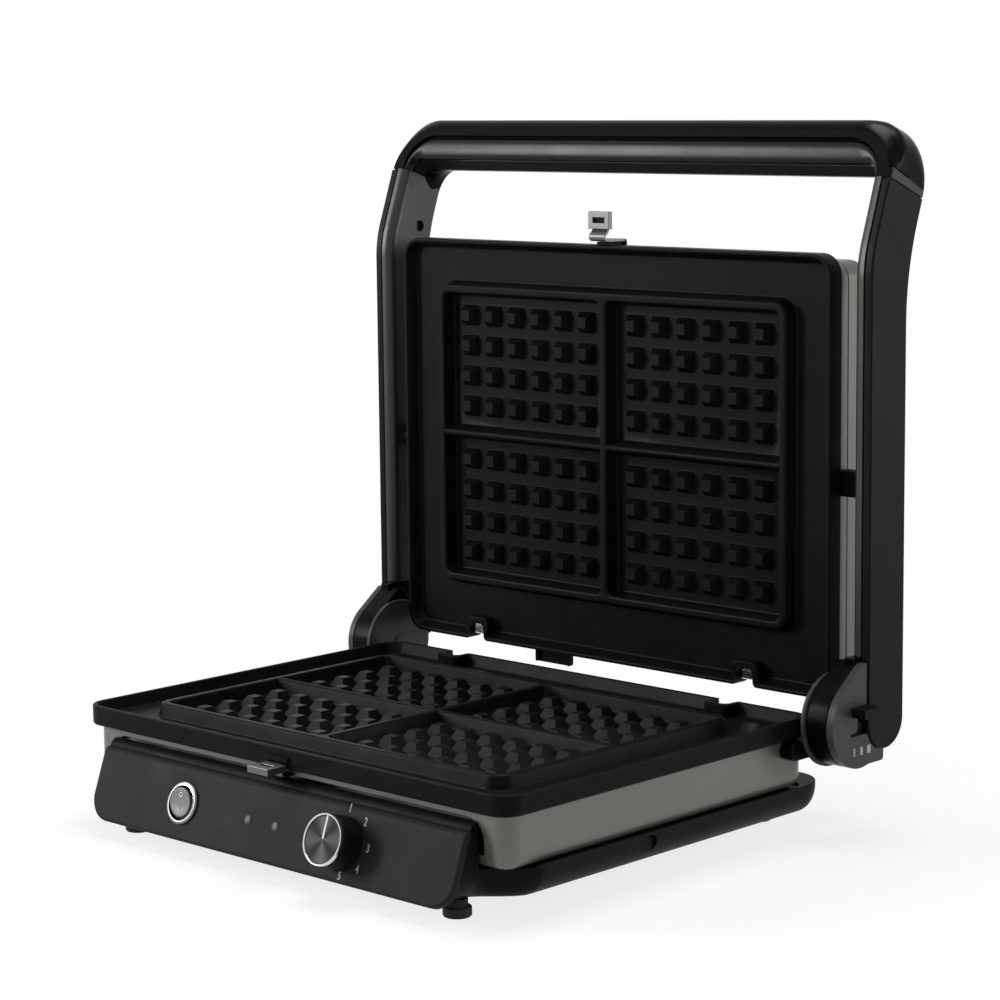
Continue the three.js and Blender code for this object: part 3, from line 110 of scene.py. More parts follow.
def on_panel(x0, down=PANEL_MIDDLE):
    """Flat on the slanted panel: X across it, Y up the slant and Z out of it."""
    sine, cosine = math.sin(PANEL_SLANT), math.cos(PANEL_SLANT)
    y0, z0 = PANEL_Y - down * sine, PANEL_Z - down * cosine
    return lambda x, y, z: (x0 + x, y0 + y * sine - z * cosine, z0 + y * cosine + z * sine)


def leaning(along, back):
    """Y and Z of a point on an arm's leaning end, from its lengths along and across the lean."""
    return (ARM_FRONT + along * math.sin(LEAN) + back * math.cos(LEAN),
            BEND_Z + along * math.cos(LEAN) - back * math.sin(LEAN))


def leaned(side=1):
    return lambda x, along, back: (side * x, *leaning(along, back))


# Outlines and shapes

def arc(x, y, radius, start, end, steps):
    start, end = math.radians(start), math.radians(end)
    angles = [start + (end - start) * i / steps for i in range(steps + 1)]
    return [(x + radius * math.cos(a), y + radius * math.sin(a)) for a in angles]


def round_rect(x0, x1, y0, y1, radius, steps=10):
    points = []
    for x, y, start in ((x1 - radius, y0 + radius, -90), (x1 - radius, y1 - radius, 0),
                        (x0 + radius, y1 - radius, 90), (x0 + radius, y0 + radius, 180)):
        points += arc(x, y, radius, start, start + 90, steps)
    return points


def level(x0, x1, y0, y1, radius, z, steps):
    return [(x, y, z) for x, y in round_rect(x0, x1, y0, y1, radius, steps)]


def shrunk(box, inset, radius, z, steps):
    """A level inside the box of lowest and highest X and Y, or round it where the inset is negative."""
    x0, x1, y0, y1 = box
    return level(x0 + inset, x1 - inset, y0 + inset, y1 - inset, radius, z, steps)


class Shape:
    """Vertices and faces of one piece, gathered loop by loop."""

    def __init__(self):
        self.verts, self.faces = [], []

    def loop(self, points):
        start = len(self.verts)
        self.verts += [tuple(p) for p in points]
        return list(range(start, start + len(points)))

    def bridge(self, a, b):
        for i in range(len(a)):
            j = (i + 1) % len(a)
            self.faces.append((a[i], a[j], b[j], b[i]))

    def cap(self, loop, holes=()):
        if not holes:
            self.faces.append(tuple(loop))
            return
        rings = [loop, *holes]
        flat = [i for ring in rings for i in ring]
        found = tessellate_polygon([[Vector(self.verts[i]) for i in ring] for ring in rings])
        self.faces += [tuple(flat[i] for i in triangle) for triangle in found]

    def loft(self, loops, start=True, end=True):
        """Joins the loops one after the other, and returns their vertices' numbers."""
        rings = [self.loop(points) for points in loops]
        for a, b in zip(rings, rings[1:]):
            self.bridge(a, b)
        if start:
            self.cap(rings[0])
        if end:
            self.cap(rings[-1])
        return rings

    def solid(self, loops):
        self.loft(loops)
        return self

    def tube(self, loops):
        """A closed tube of loops, whose last loop joins the first."""
        rings = [self.loop(points) for points in loops]
        for a, b in zip(rings, rings[1:] + rings[:1]):
            self.bridge(a, b)
        return self

    def prism(self, outline, z0, z1):
        return self.solid([[(x, y, z) for x, y in outline] for z in (z0, z1)])

    def box(self, x0, x1, y0, y1, z0, z1):
        return self.prism([(x0, y0), (x1, y0), (x1, y1), (x0, y1)], z0, z1)

    def lathe(self, profile, sides, closed=False):
        """Turns a profile of radius and height round Z. A closed profile makes a ring."""
        turns = [2 * math.pi * i / sides for i in range(sides)]
        loops = [[(radius * math.cos(a), radius * math.sin(a), z) for a in turns] for radius, z in profile]
        return self.tube(loops) if closed else self.solid(loops)

    def rod(self, radius, z0, z1, sides):
        return self.lathe([(0.01, z0), (radius, z0), (radius, z1), (0.01, z1)], sides)


# Meshes and pieces

def mesh_of(name, shape, place, merge=True):
    mesh = bpy.data.meshes.new(name)
    mesh.from_pydata([at(*place(*v)) for v in shape.verts], [], shape.faces)
    bm = bmesh.new()
    bm.from_mesh(mesh)
    if merge:
        bmesh.ops.remove_doubles(bm, verts=bm.verts, dist=MERGE_DISTANCE)
    bmesh.ops.recalc_face_normals(bm, faces=bm.faces)
    bm.to_mesh(mesh)
    bm.free()
    return mesh


def linked(name, data):
    obj = bpy.data.objects.new(name, data)
    bpy.context.scene.collection.objects.link(obj)
    return obj


def dress(name, mesh, material, body, replaces=None, bevel=0, segments=3, sharp=None, slot=None, angle=32):
    """Gives a mesh its material, its edges, its body and the node that it replaces. The slot is not used."""
    obj = linked(name, mesh)
    mesh.materials.append(material)
    mesh.shade_smooth()
    if sharp:
        mesh.set_sharp_from_angle(angle=math.radians(sharp))
    if bevel:
        edges = obj.modifiers.new("edges", "BEVEL")
        edges.width = bevel * MM
        edges.segments = segments
        edges.limit_method = "ANGLE"
        edges.angle_limit = math.radians(angle)
        edges.use_clamp_overlap = True
    normals = obj.modifiers.new("normals", "WEIGHTED_NORMAL")
    normals.keep_sharp = True
    normals.weight = 60
    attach(obj, body)
    if replaces:
        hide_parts(replaces)
    return obj


def piece(name, shape, material, body, replaces=None, place=plain, **finish):
    return dress(name, mesh_of(name, shape, place), material, body, replaces, **finish)


def carve(obj, shape, place=plain, operation="DIFFERENCE"):
    """Applies a boolean of a shape to a piece's mesh, with the piece's other modifiers off meanwhile."""
    bpy.context.view_layer.update()
    cutter = linked("cutter", mesh_of("cutter", shape, place, merge=False))
    others = [(modifier, modifier.show_viewport) for modifier in obj.modifiers]
    for modifier, _ in others:
        modifier.show_viewport = False
    cut = obj.modifiers.new("cut", "BOOLEAN")
    cut.operation = operation
    cut.solver = "EXACT"
    cut.use_self = True
    cut.object = cutter
    made = bpy.data.meshes.new_from_object(obj.evaluated_get(bpy.context.evaluated_depsgraph_get()))
    obj.modifiers.remove(cut)
    for modifier, shown in others:
        modifier.show_viewport = shown
    old, cutter_mesh = obj.data, cutter.data
    obj.data = made
    made.name = old.name
    bpy.data.objects.remove(cutter)
    bpy.data.meshes.remove(old)
    bpy.data.meshes.remove(cutter_mesh)


def smooth_again(obj, sharp):
    """Smooths a piece after a cut, but for edges sharper than an angle in degrees."""
    obj.data.shade_smooth()
    obj.data.set_sharp_from_angle(angle=math.radians(sharp))


# Materials

def new_material(name):
    material = bpy.data.materials.new(name)
    material.use_nodes = True
    tree = material.node_tree
    return material, tree, tree.nodes["Principled BSDF"]


def noise(tree, scale, detail):
    coord = tree.nodes.new("ShaderNodeTexCoord")
    texture = tree.nodes.new("ShaderNodeTexNoise")
    texture.inputs["Scale"].default_value = scale
    texture.inputs["Detail"].default_value = detail
    texture.inputs["Roughness"].default_value = 0.6
    tree.links.new(coord.outputs["Object"], texture.inputs["Vector"])
    return texture.outputs["Fac"]


def spread(tree, source, low, high, start=0.3, end=0.7):
    """Maps values from start to end onto low to high."""
    node = tree.nodes.new("ShaderNodeMapRange")
    for label, value in (("From Min", start), ("From Max", end), ("To Min", low), ("To Max", high)):
        node.inputs[label].default_value = value
    tree.links.new(source, node.inputs["Value"])
    return node.outputs["Result"]


def maths(tree, operation, *values):
    """A maths node, whose inputs are numbers or other nodes' outputs."""
    node = tree.nodes.new("ShaderNodeMath")
    node.operation = operation
    for value, socket in zip(values, node.inputs):
        if isinstance(value, bpy.types.NodeSocket):
            tree.links.new(value, socket)
        else:
            socket.default_value = value
    return node.outputs[0]


def shades(tree, source, dark, light):
    ramp = tree.nodes.new("ShaderNodeValToRGB")
    for element, position, color in zip(ramp.color_ramp.elements, (0.3, 0.7), (dark, light)):
        element.position = position
        element.color = (*color, 1)
    tree.links.new(source, ramp.inputs["Fac"])
    return ramp.outputs["Color"]


def bump(tree, source, height):
    node = tree.nodes.new("ShaderNodeBump")
    node.inputs["Distance"].default_value = height * MM
    node.inputs["Strength"].default_value = 1.0
    tree.links.new(source, node.inputs["Height"])
    return node.outputs["Normal"]


def grained(name, color, rough, grain=900, height=0.02, vary=0.12, rough_vary=0.06, metal=0.0, specular=0.5,
            coat=0.0, coat_rough=0.1, smear=35):
    """A finish with slow colour variation, fine grain in its relief and uneven roughness."""
    material, tree, shader = new_material(name)
    slow, fine = noise(tree, smear, 3), noise(tree, grain, 2)
    dark = tuple(c * (1 - vary) for c in color)
    light = tuple(c * (1 + vary) for c in color)
    tree.links.new(shades(tree, slow, dark, light), shader.inputs["Base Color"])
    tree.links.new(spread(tree, slow, rough - rough_vary, rough + rough_vary), shader.inputs["Roughness"])
    tree.links.new(bump(tree, fine, height), shader.inputs["Normal"])
    for label, value in (("Metallic", metal), ("Specular IOR Level", specular), ("Coat Weight", coat),
                         ("Coat Roughness", coat_rough)):
        shader.inputs[label].default_value = value
    return material


def spun(name, color, light, rough, rough_vary=0.05, painted_beams=4, painted_beam_turn=0.9):
    """Turned metal: fine rings round the knob's axis in its relief, and painted reflections: beams of
    lighter base colour round the axis, where such rings would spread the light.
    """
    material, tree, shader = new_material(name)
    coord = tree.nodes.new("ShaderNodeTexCoord")
    mapping = tree.nodes.new("ShaderNodeMapping")
    mapping.vector_type = "TEXTURE"
    mapping.inputs["Location"].default_value = at(*on_panel(KNOB_X)(0, 0, DIAL_FACE))
    mapping.inputs["Rotation"].default_value = (math.pi / 2 - PANEL_SLANT, 0, 0)
    tree.links.new(coord.outputs["Object"], mapping.inputs["Vector"])
    rings = tree.nodes.new("ShaderNodeTexWave")
    rings.wave_type = "RINGS"
    rings.rings_direction = "Z"
    for label, value in (("Scale", 900), ("Distortion", 0.6), ("Detail", 2)):
        rings.inputs[label].default_value = value
    tree.links.new(mapping.outputs["Vector"], rings.inputs["Vector"])
    turn = tree.nodes.new("ShaderNodeTexGradient")
    turn.gradient_type = "RADIAL"
    tree.links.new(mapping.outputs["Vector"], turn.inputs["Vector"])
    # Painted reflection: the base colour turns lighter in beams round the axis, in place of light that the
    # rings would spread.
    phase = maths(tree, "MULTIPLY_ADD", turn.outputs["Fac"], 2 * math.pi * painted_beams, painted_beam_turn)
    painted_beam = spread(tree, maths(tree, "SINE", phase), 0.3, 0.7, -1.2, 1)
    tree.links.new(shades(tree, painted_beam, color, light), shader.inputs["Base Color"])
    tree.links.new(bump(tree, rings.outputs["Fac"], 0.02), shader.inputs["Normal"])
    tree.links.new(spread(tree, rings.outputs["Fac"], rough - rough_vary, rough + rough_vary),
                   shader.inputs["Roughness"])
    shader.inputs["Metallic"].default_value = 1
    return material


cast = grained("coated_cast", (0.0045, 0.0045, 0.0047), 0.42, grain=1800, height=0.035, vary=0.2,
               rough_vary=0.05, specular=0.05)
gloss = grained("gloss_black", (0.0015, 0.0015, 0.0016), 0.26, grain=1500, height=0.003, vary=0.1,
                rough_vary=0.03, specular=0.045)
matte = grained("matte_black", (0.0045, 0.0045, 0.0047), 0.5, grain=2200, height=0.03, specular=0.06)
panel_paint = grained("panel_grey", (0.017, 0.017, 0.0175), 0.5, grain=2500, vary=0.08, specular=0.06)
olive = grained("olive_paint", (0.118, 0.120, 0.104), 0.4, grain=1700, height=0.008, vary=0.025,
                rough_vary=0.012, metal=0.3, coat=0.12, coat_rough=0.25)
satin = grained("satin_grey", (0.022, 0.022, 0.0224), 0.34, grain=2300, height=0.01, vary=0.08, specular=0.3)
grip_satin = grained("grip_satin", (0.005, 0.005, 0.0052), 0.28, grain=1500, height=0.003, vary=0.08,
                     rough_vary=0.03, specular=0.17)
cover_black = grained("cover_black", (0.006, 0.006, 0.0062), 0.34, grain=2300, height=0.01, vary=0.08,
                      specular=0.06)
strip_grey = grained("strip_grey", (0.009, 0.009, 0.0092), 0.5, grain=2300, height=0.01, vary=0.08,
                     specular=0.01)
cap_grey = grained("cap_grey", (0.045, 0.045, 0.046), 0.36, grain=2300, height=0.012, vary=0.08,
                   specular=0.14)
collar_grey = grained("collar_grey", (0.034, 0.034, 0.034), 0.35, grain=2300, height=0.01, vary=0.08,
                      specular=0.14)
chrome = grained("chrome", (0.62, 0.62, 0.62), 0.16, grain=700, height=0.006, vary=0.05, rough_vary=0.04,
                 metal=1)
steel = grained("plain_steel", (0.40, 0.40, 0.40), 0.36, height=0.01, vary=0.1, metal=1)
heater = grained("heater_tube", (0.16, 0.16, 0.15), 0.5, vary=0.15, metal=1)
rubber = grained("foot_rubber", (0.012, 0.012, 0.012), 0.75, grain=1500, height=0.05, vary=0.15,
                 specular=0.3)
button_grey = grained("button_grey", (0.16, 0.16, 0.162), 0.3, grain=2300, height=0.006, vary=0.05)
lens_grey = grained("lens_grey", (0.06, 0.06, 0.06), 0.25, height=0.01, vary=0.1, specular=0.1)
latch_metal = grained("latch_metal", (0.13, 0.13, 0.13), 0.4, grain=700, height=0.006, vary=0.05,
                      rough_vary=0.04, metal=1)
beige = grained("terminal_plastic", (0.68, 0.64, 0.55), 0.6, vary=0.06)
print_grey = grained("print_grey", (0.32, 0.32, 0.32), 0.5, grain=1500, height=0.01, vary=0.05)
white_print = grained("white_mark", (0.80, 0.80, 0.80), 0.45, grain=1500, height=0.01, vary=0.04)
dark_chrome = grained("dark_chrome", (0.14, 0.14, 0.145), 0.28, grain=700, height=0.006, vary=0.05,
                      rough_vary=0.04, metal=1)
# The knob face's lighter colour is painted reflection, laid in beams round the axis.
knob_face_metal = spun("spun_metal", (0.007, 0.007, 0.0072), (0.032, 0.032, 0.033), 0.4)

# Waffle plates. Profiles are insets and heights. The studs' profile is half widths, heights and corners.

PLATE, PLATE_CORNER = (-150, 150, 0, 224), 11.5
RING, RING_CORNER = (-122.5, 122.5, 25.3, 191.5), 8
CELLS_HALF, CELLS_FRONT, CELLS_REAR, CELL_CORNER = 118.6, 29.2, 187.6, 4.1
RIDGE_Y, RIDGE_HALF = 107.5, 1.95
STUD_COLUMNS, STUD_ROWS, STUD_PITCH = 6, 4, 17.29
STUD_INSET_X, STUD_INSET_Y = 15.1, 12.9
EAR_HALF = 8.5
RIM_PROFILE = ((2.2, -10.3), (0.7, -10.15), (0.15, -9.6), (0, -8.9), (0, -0.8), (0.12, -0.35), (0.4, -0.08),
               (0.85, 0), (1.5, 0), (1.95, -0.1), (2.3, -0.45), (2.55, -1.0), (4.5, -5.4), (4.75, -5.95),
               (5.15, -6.4), (5.8, -6.6))
RING_PROFILE = ((-2.9, -6.6), (-2.3, -6.45), (-1.9, -6.0), (-1.7, -5.5), (-0.42, -0.6), (-0.15, 0.05),
                (0.25, 0.42), (0.9, 0.6))
CELL_PROFILE = ((-0.9, 0.6), (-0.3, 0.42), (0.1, 0.05), (0.3, -0.5), (1.45, -5.8), (1.7, -6.55), (2.1, -7.0),
                (2.7, -7.2))
STUD_PROFILE = ((6.05, -7.2, 0.9), (5.72, -7.08, 0.7), (5.55, -6.8, 0.5), (3.05, -2.2, 0.35),
                (2.95, -2.0, 0.3), (2.75, -1.9, 0.25))


def stud_places(x0, y0, y1):
    pitch = (y1 - y0 - 2 * STUD_INSET_Y) / (STUD_ROWS - 1)
    for column in range(STUD_COLUMNS):
        for row in range(STUD_ROWS):
            yield x0 + STUD_INSET_X + column * STUD_PITCH, y0 + STUD_INSET_Y + row * pitch


def plate_casting():
    """Rim, drip gutter, ring and the walls, floors and studs of four cells, as one closed surface."""
    shape = Shape()
    levels = [shrunk(PLATE, inset, PLATE_CORNER - inset, z, 12) for inset, z in RIM_PROFILE]
    levels += [shrunk(RING, inset, RING_CORNER - inset, z, 12) for inset, z in RING_PROFILE]
    top = shape.loft(levels, end=False)[-1]
    mouths = []
    for x0, x1 in ((-CELLS_HALF, -RIDGE_HALF), (RIDGE_HALF, CELLS_HALF)):
        box = (x0, x1, CELLS_FRONT, CELLS_REAR)
        levels = [shrunk(box, inset, CELL_CORNER - 0.6 * inset, z, 8) for inset, z in CELL_PROFILE]
        walls = shape.loft(levels, start=False, end=False)
        mouths.append(walls[0])
        feet = []
        for y0, y1 in ((CELLS_FRONT, RIDGE_Y - RIDGE_HALF), (RIDGE_Y + RIDGE_HALF, CELLS_REAR)):
            for x, y in stud_places(x0, y0, y1):
                stud = [shrunk((x, x, y, y), -half, corner, z, 2) for half, z, corner in STUD_PROFILE]
                feet.append(shape.loft(stud, start=False)[0])
        shape.cap(walls[-1], feet)
    shape.cap(top, mouths)
    return shape


def plate_additions():
    """The cross ridge, the rear ears, the boss with two posts behind the ring and the front lip."""
    ridge = [(-4.8, -7.35), (-4.0, -7.1), (-3.55, -6.6), (-3.3, -6.0), (-1.85, -1.0), (-1.5, -0.2),
             (-0.9, 0.35), (-0.3, 0.58)]
    ridge += [(-a, z) for a, z in reversed(ridge)]
    ridge += [(4.8, -9), (-4.8, -9)]
    shape = Shape()
    for x0, x1 in ((-119.2, -1.3), (1.3, 119.2)):
        shape.solid([[(x, RIDGE_Y + a, z) for a, z in ridge] for x in (x0, x1)])
    for x in (-HOOK_X, HOOK_X):
        ear = (x - EAR_HALF, x + EAR_HALF, 211, 222.8)
        shape.solid([shrunk(ear, inset, 4 - inset, z, 6) for inset, z in ((0, -7), (0, -0.45), (0.3, -0.1),
                                                                          (0.7, 0))])
    shape.solid([level(28, 54, 222.5, 231, 2, -6, 4), level(28, 54, 222.5, 231, 2, -4.9, 4),
                 level(28.3, 53.7, 222.5, 230.7, 1.8, -4.6, 4)])
    for x in (29.4, 52.6):
        shape.solid([level(x - 1.2, x + 1.2, 222, 230.8, 0.9, z, 3) for z in (-5.5, -3.25)] +
                    [level(x - 0.9, x + 0.9, 222.2, 230.5, 0.7, -3, 3)])
    return shape.solid([level(-7.4, 7.4, -1.5, 1.2, 0.4, z, 3) for z in (-6.4, -4.2)])


def plate_cuts():
    """The hooks' mouths in the rear edge and the notch for the latch in the front one."""
    shape = Shape()
    for x in (-HOOK_X, HOOK_X):
        mouth = arc(x - EAR_HALF, 221, 3, 90, 0, 6) + arc(x - 1.5, 218, 4, 180, 270, 6)
        mouth += arc(x + 1.5, 218, 4, 270, 360, 6) + arc(x + EAR_HALF, 221, 3, 180, 90, 6)
        shape.prism(mouth + [(x + EAR_HALF, 230), (x - EAR_HALF, 230)], -15, 5)
    return shape.box(-8, 8, -5, 2, -9.4, -7.2)


for name, place, body, node in (("lower_waffle_plate", plain, "base", "lower_plate"),
                                ("upper_waffle_plate", lidded, "lid", "upper_plate")):
    casting = piece(name, plate_casting(), cast, body, node, place, slot="coated_cast_plate")
    carve(casting, plate_additions(), place, "UNION")
    carve(casting, plate_cuts(), place)
    smooth_again(casting, 38)

# Housing bands and lid cover

BAND, BAND_CORNER = (-146, 146, 4.5, 223), 9.5


def band(inset, z):
    return shrunk(BAND, inset, BAND_CORNER - inset, z, 14)


def rounded(radius, steps=10):
    """Inset and rise of a round edge, from the flat underside outwards."""
    angles = [math.pi / 2 * i / steps for i in range(steps + 1)]
    return [(radius * (1 - math.sin(a)), radius * (1 - math.cos(a))) for a in angles]


band_lip = [band(inset, z) for inset, z in ((0, -11.2), (0.25, -10.75), (0.7, -10.6), (1.3, -10.6),
                                            (1.5, -10.9))]
loops = [band(inset, -37 + rise) for inset, rise in rounded(7)] + band_lip
loops += [band(1.5, -30), band(2.6, -33.4), band(7, -35.5)]
lower_band = piece("lower_band", Shape().tube(loops), olive, "base", "lower_housing",
                   slot="olive_grey_paint", sharp=50, bevel=0.35, segments=2, angle=50)
arch = arc(121, -24.8, 11, 0, 90, 12) + arc(-121, -24.8, 11, 90, 180, 12)
arch += arc(-138, -31, 6, 0, -80, 10) + [(-140, -45), (140, -45)] + arc(138, -31, 6, 260, 180, 10)
carve(lower_band, Shape().prism(arch, -1, 6.2), lengthways())

loops = [band(0.5, -19.9), band(0.15, -19.75), band(0, -19.4)] + band_lip + [band(1.5, -19.9)]
piece("lid_band", Shape().tube(loops), olive, "lid", "lid_housing", lidded, slot="olive_grey_paint",
      sharp=50)

loops = [band(inset, -40.5 + rise) for inset, rise in rounded(8.5)]
loops += [band(0, -20.8), band(0.3, -20.3), band(0.8, -20.2), band(1.5, -20.2), band(1.5, -31), band(3, -36),
          band(8, -39)]
piece("lid_back_cover", Shape().solid(loops), olive, "lid", "lid_cover", lidded, slot="olive_grey_paint",
      sharp=50)

# Tray

TRAY_HALF, TRAY_CORNER = 147.8, 20
TRAY_BOTTOM, TRAY_FLOOR = -53, -50.5
PANEL_SEAT = 3.5  # the panel's thickness with its clearance
NOSE_BACK = 4.2


def nose_front(z):
    """Y of the nose behind the panel, at a height."""
    return (z - PANEL_Z) * (PANEL_RUN / PANEL_DROP) + PANEL_Y + PANEL_SEAT / math.cos(PANEL_SLANT)


def tray_level(side, rear, z, steps=14):
    """Straight sides and round rear corners. The front draws in to the width of the nose."""
    half, nose, back = TRAY_HALF - side, PANEL_HALF - side, REAR_WALL - rear
    corner = TRAY_CORNER - side * 0.8
    points = [(nose - 0.8, nose_front(z)), (nose - 0.2, nose_front(z) + 0.2), (nose, nose_front(z) + 0.6)]
    for i in range(steps + 1):
        share = i / steps
        points.append((nose + (half - nose) * (1 - math.cos(math.pi * share)) / 2, 2.25 + 26 * share))
    points += arc(half - corner, back - corner, corner, 0, 90, steps)
    points += [(-x, y) for x, y in reversed(points)]
    return [(x, y, z) for x, y in points]


def nose_level(inset, z):
    half = PANEL_HALF - inset
    return [(-half, nose_front(z), z), (half, nose_front(z), z), (half, NOSE_BACK, z), (-half, NOSE_BACK, z)]


loops = [tray_level(15 * inset, 6 * inset, TRAY_BOTTOM + 15 * rise) for inset, rise in rounded(1)]
loops += [tray_level(0, 0, -36.5), tray_level(0.15, 0.15, -36.12), tray_level(0.5, 0.5, -36)]
tray = piece("base_shell", Shape().solid(loops), matte, "base", "base_tray", slot="matte_black_plastic",
             sharp=50)
nose_top = Shape().solid([nose_level(0, -36.4), nose_level(0, -19.6), nose_level(0.25, -19.05),
                          nose_level(0.8, -18.8)])
carve(tray, nose_top, plain, "UNION")
nose_round = arc(NOSE_BACK, -20, 4.9, 180, 90, 12) + [(NOSE_BACK, -24), (-0.7, -24)]
carve(tray, Shape().prism(nose_round, -128.2, 128.2), sideways(), "UNION")
well = Shape().solid([band(-CLEARANCE, z) for z in (-37.3, -20)])
carve(tray, well.solid([level(-138, 138, 26, 215.5, 6, z, 6) for z in (TRAY_FLOOR, -20)]))
room_half, room_corner = 126.6, 12.6
room = [(room_half, -21.2), (-room_half, -21.2)]
room += arc(room_corner - room_half, TRAY_FLOOR + room_corner, room_corner, 180, 270, 10)
room += arc(room_half - room_corner, TRAY_FLOOR + room_corner, room_corner, 270, 360, 10)
carve(tray, Shape().prism(room, -30, 27), lengthways())
carve(tray, Shape().rod(5.5, -11.5, 3.5, 32), lengthways(GLAND_X, REAR_WALL, GLAND_Z))
carve(tray, Shape().prism(round_rect(94, 106, -46, -37.6, 4.1), 145.6, 152), sideways())
smooth_again(tray, 50)

# Control panel: a slanted plate with a soft crest and round lower corners

loops = []
for depth, side, crest in ((0, 1.7, 3.6), (0.12, 1.1, 2.6), (0.4, 0.55, 1.6), (0.85, 0.2, 0.85),
                           (1.5, 0.02, 0.35), (2.3, 0, 0.08), (3.2, 0, 0)):
    half, foot, top = PANEL_HALF - side, -37.01 + side, 0.362 * depth - crest
    corner = 13 - side
    points = arc(half - 1.5, top - 1.5, 1.5, 0, 90, 4) + arc(1.5 - half, top - 1.5, 1.5, 90, 180, 4)
    points += arc(corner - half, foot + corner, corner, 180, 270, 12)
    points += arc(half - corner, foot + corner, corner, 270, 360, 12)
    loops.append([(x, y, -depth) for x, y in points])
panel = piece("front_panel", Shape().solid(loops), panel_paint, "base", "control_panel", on_panel(0, 0),
              slot="panel_grey", sharp=60)
carve(panel, Shape().rod(9.0, -2.8, 1, 64), on_panel(SWITCH_X))
smooth_again(panel, 60)

# Feet

for name, x, y in (("foot_front_right", 114, 5), ("foot_front_left", -114, 5), ("foot_rear_right", 110, 230),
                   ("foot_rear_left", -110, 230)):
    foot = Shape().lathe([(5.4, 0), (6.3, 0.25), (6.8, 1), (6.8, 4.4), (6.5, 4.9), (5.2, 5), (5, 5.3),
                          (5, 8.7)], 48)
    piece(name + "_pad", foot, rubber, "base", name, moved(x, y, -PLATE_HEIGHT), slot="rubber_black",
          sharp=45)

# Switch: a ring with a lip, and a dished button with its two marks

ROCK = math.radians(8)


def on_button(x0=0, y0=0):
    """On the panel at the switch, tilted with the button."""
    place = on_panel(SWITCH_X)
    sine, cosine = math.sin(ROCK), math.cos(ROCK)
    return lambda x, y, z: place(x0 + x, (y0 + y) * cosine - z * sine, (y0 + y) * sine + z * cosine)


ring = Shape().lathe([(9.05, -3.2), (9.3, -3.2), (9.3, 0.3), (10.4, 0.3), (10.7, 0.5), (10.75, 0.8),
                      (10.6, 1.1), (10.1, 1.35), (9.4, 1.4), (9.05, 1.35)], 96, closed=True)
piece("switch_ring", ring, dark_chrome, "base", "switch_bezel", on_panel(SWITCH_X), slot="chrome_metal",
      sharp=40)
lip = Shape().lathe([(8.7, 0.2), (9.0, 0.2), (9.05, 1.4), (8.98, 1.58), (8.82, 1.6), (8.7, 1.4)], 96,
                    closed=True)
piece("switch_ring_lip", lip, chrome, "base", None, on_panel(SWITCH_X), slot="chrome_metal", sharp=40)
button = Shape().lathe([(8.0, -1.6), (8.2, -1.4), (8.2, 0.9), (8.05, 1.15), (7.8, 1.2)], 64)
piece("switch_button_body", button, matte, "rocker", None, on_button(), slot="button_grey", sharp=50)
loops = []
for radius, z, share in ((7.3, 1.0, 0), (7.3, 1.35, 0), (7.15, 1.52, 0), (6.9, 1.6, 0.1), (6, 1.6, 0.4),
                         (5, 1.6, 0.6), (4, 1.6, 0.8), (3, 1.6, 1), (2, 1.6, 1), (1, 1.6, 1)):
    circle = [(x - 0.75, y + 0.35) for x, y in arc(0, 0, radius, 0, 360, 64)[:-1]]
    loops.append([(x, y, z - share * 0.35 * (1 - (y / 8) ** 2)) for x, y in circle])
piece("switch_button", Shape().solid(loops), button_grey, "rocker", "rocker_button", on_button(),
      slot="button_grey", sharp=50)
off_mark = Shape().lathe([(0.85, 1.3), (1.2, 1.3), (1.2, 1.62), (0.85, 1.62)], 32, closed=True)
piece("switch_mark_off", off_mark, white_print, "rocker", None, on_button(-0.6, 4.2), slot="button_grey")
on_mark = Shape().box(-0.2, 0.2, -1.2, 1.2, 1.3, 1.62)
piece("switch_mark_on", on_mark, white_print, "rocker", None, on_button(-0.9, -3.9), slot="button_grey")

# Lamps

for name, x in (("power_lens", -12.3), ("ready_lens", 7.2)):
    lens = Shape().lathe([(2.2, -2.8), (2.5, -2.6), (2.5, 0.1), (2.3, 0.35), (1.8, 0.47), (1, 0.5),
                          (0.3, 0.5)], 40)
    piece(name + "_cap", lens, lens_grey, "base", name, on_panel(x), slot="lens_grey", sharp=50)

# Knob: body, ring, spun face and pointer, with raised numbers round it

body_shape = Shape().lathe([(12.6, 0.6), (13.1, 0.8), (13.2, 1.2), (13.0, 2.6), (12.62, 10.9), (12.5, 11.6),
                            (12.2, 12.0), (11, 12.0)], 96)
piece("dial_body", body_shape, matte, "knob", "knob_body", on_panel(KNOB_X), slot="control_black", sharp=45)
ring = Shape().lathe([(11.35, DIAL_FACE), (12.2, DIAL_FACE), (12.4, 12.5), (12.4, 13.6), (12.3, 13.95),
                      (12.0, 14.1), (11.6, 14.0), (11.35, 13.7)], 96, closed=True)
piece("dial_ring", ring, chrome, "knob", "knob_ring", on_panel(KNOB_X), slot="chrome_metal", sharp=40)
face = Shape().lathe([(11.25, DIAL_FACE), (11.25, 13.3), (11.1, 13.45), (7, 13.4), (3, 13.38), (0.5, 13.36)],
                     96)
piece("dial_face", face, knob_face_metal, "knob", "knob_face", on_panel(KNOB_X), slot="spun_metal", sharp=45)
pointer = Shape().solid([level(-0.45, 0.45, 0.4, 11.6, 0.2, 13.2, 3),
                         level(-0.45, 0.45, 0.4, 11.6, 0.2, 13.52, 3),
                         level(-0.35, 0.35, 0.5, 11.5, 0.15, 13.6, 3)])
piece("dial_pointer", pointer, white_print, "knob", None, on_panel(KNOB_X), slot="spun_metal", sharp=40)


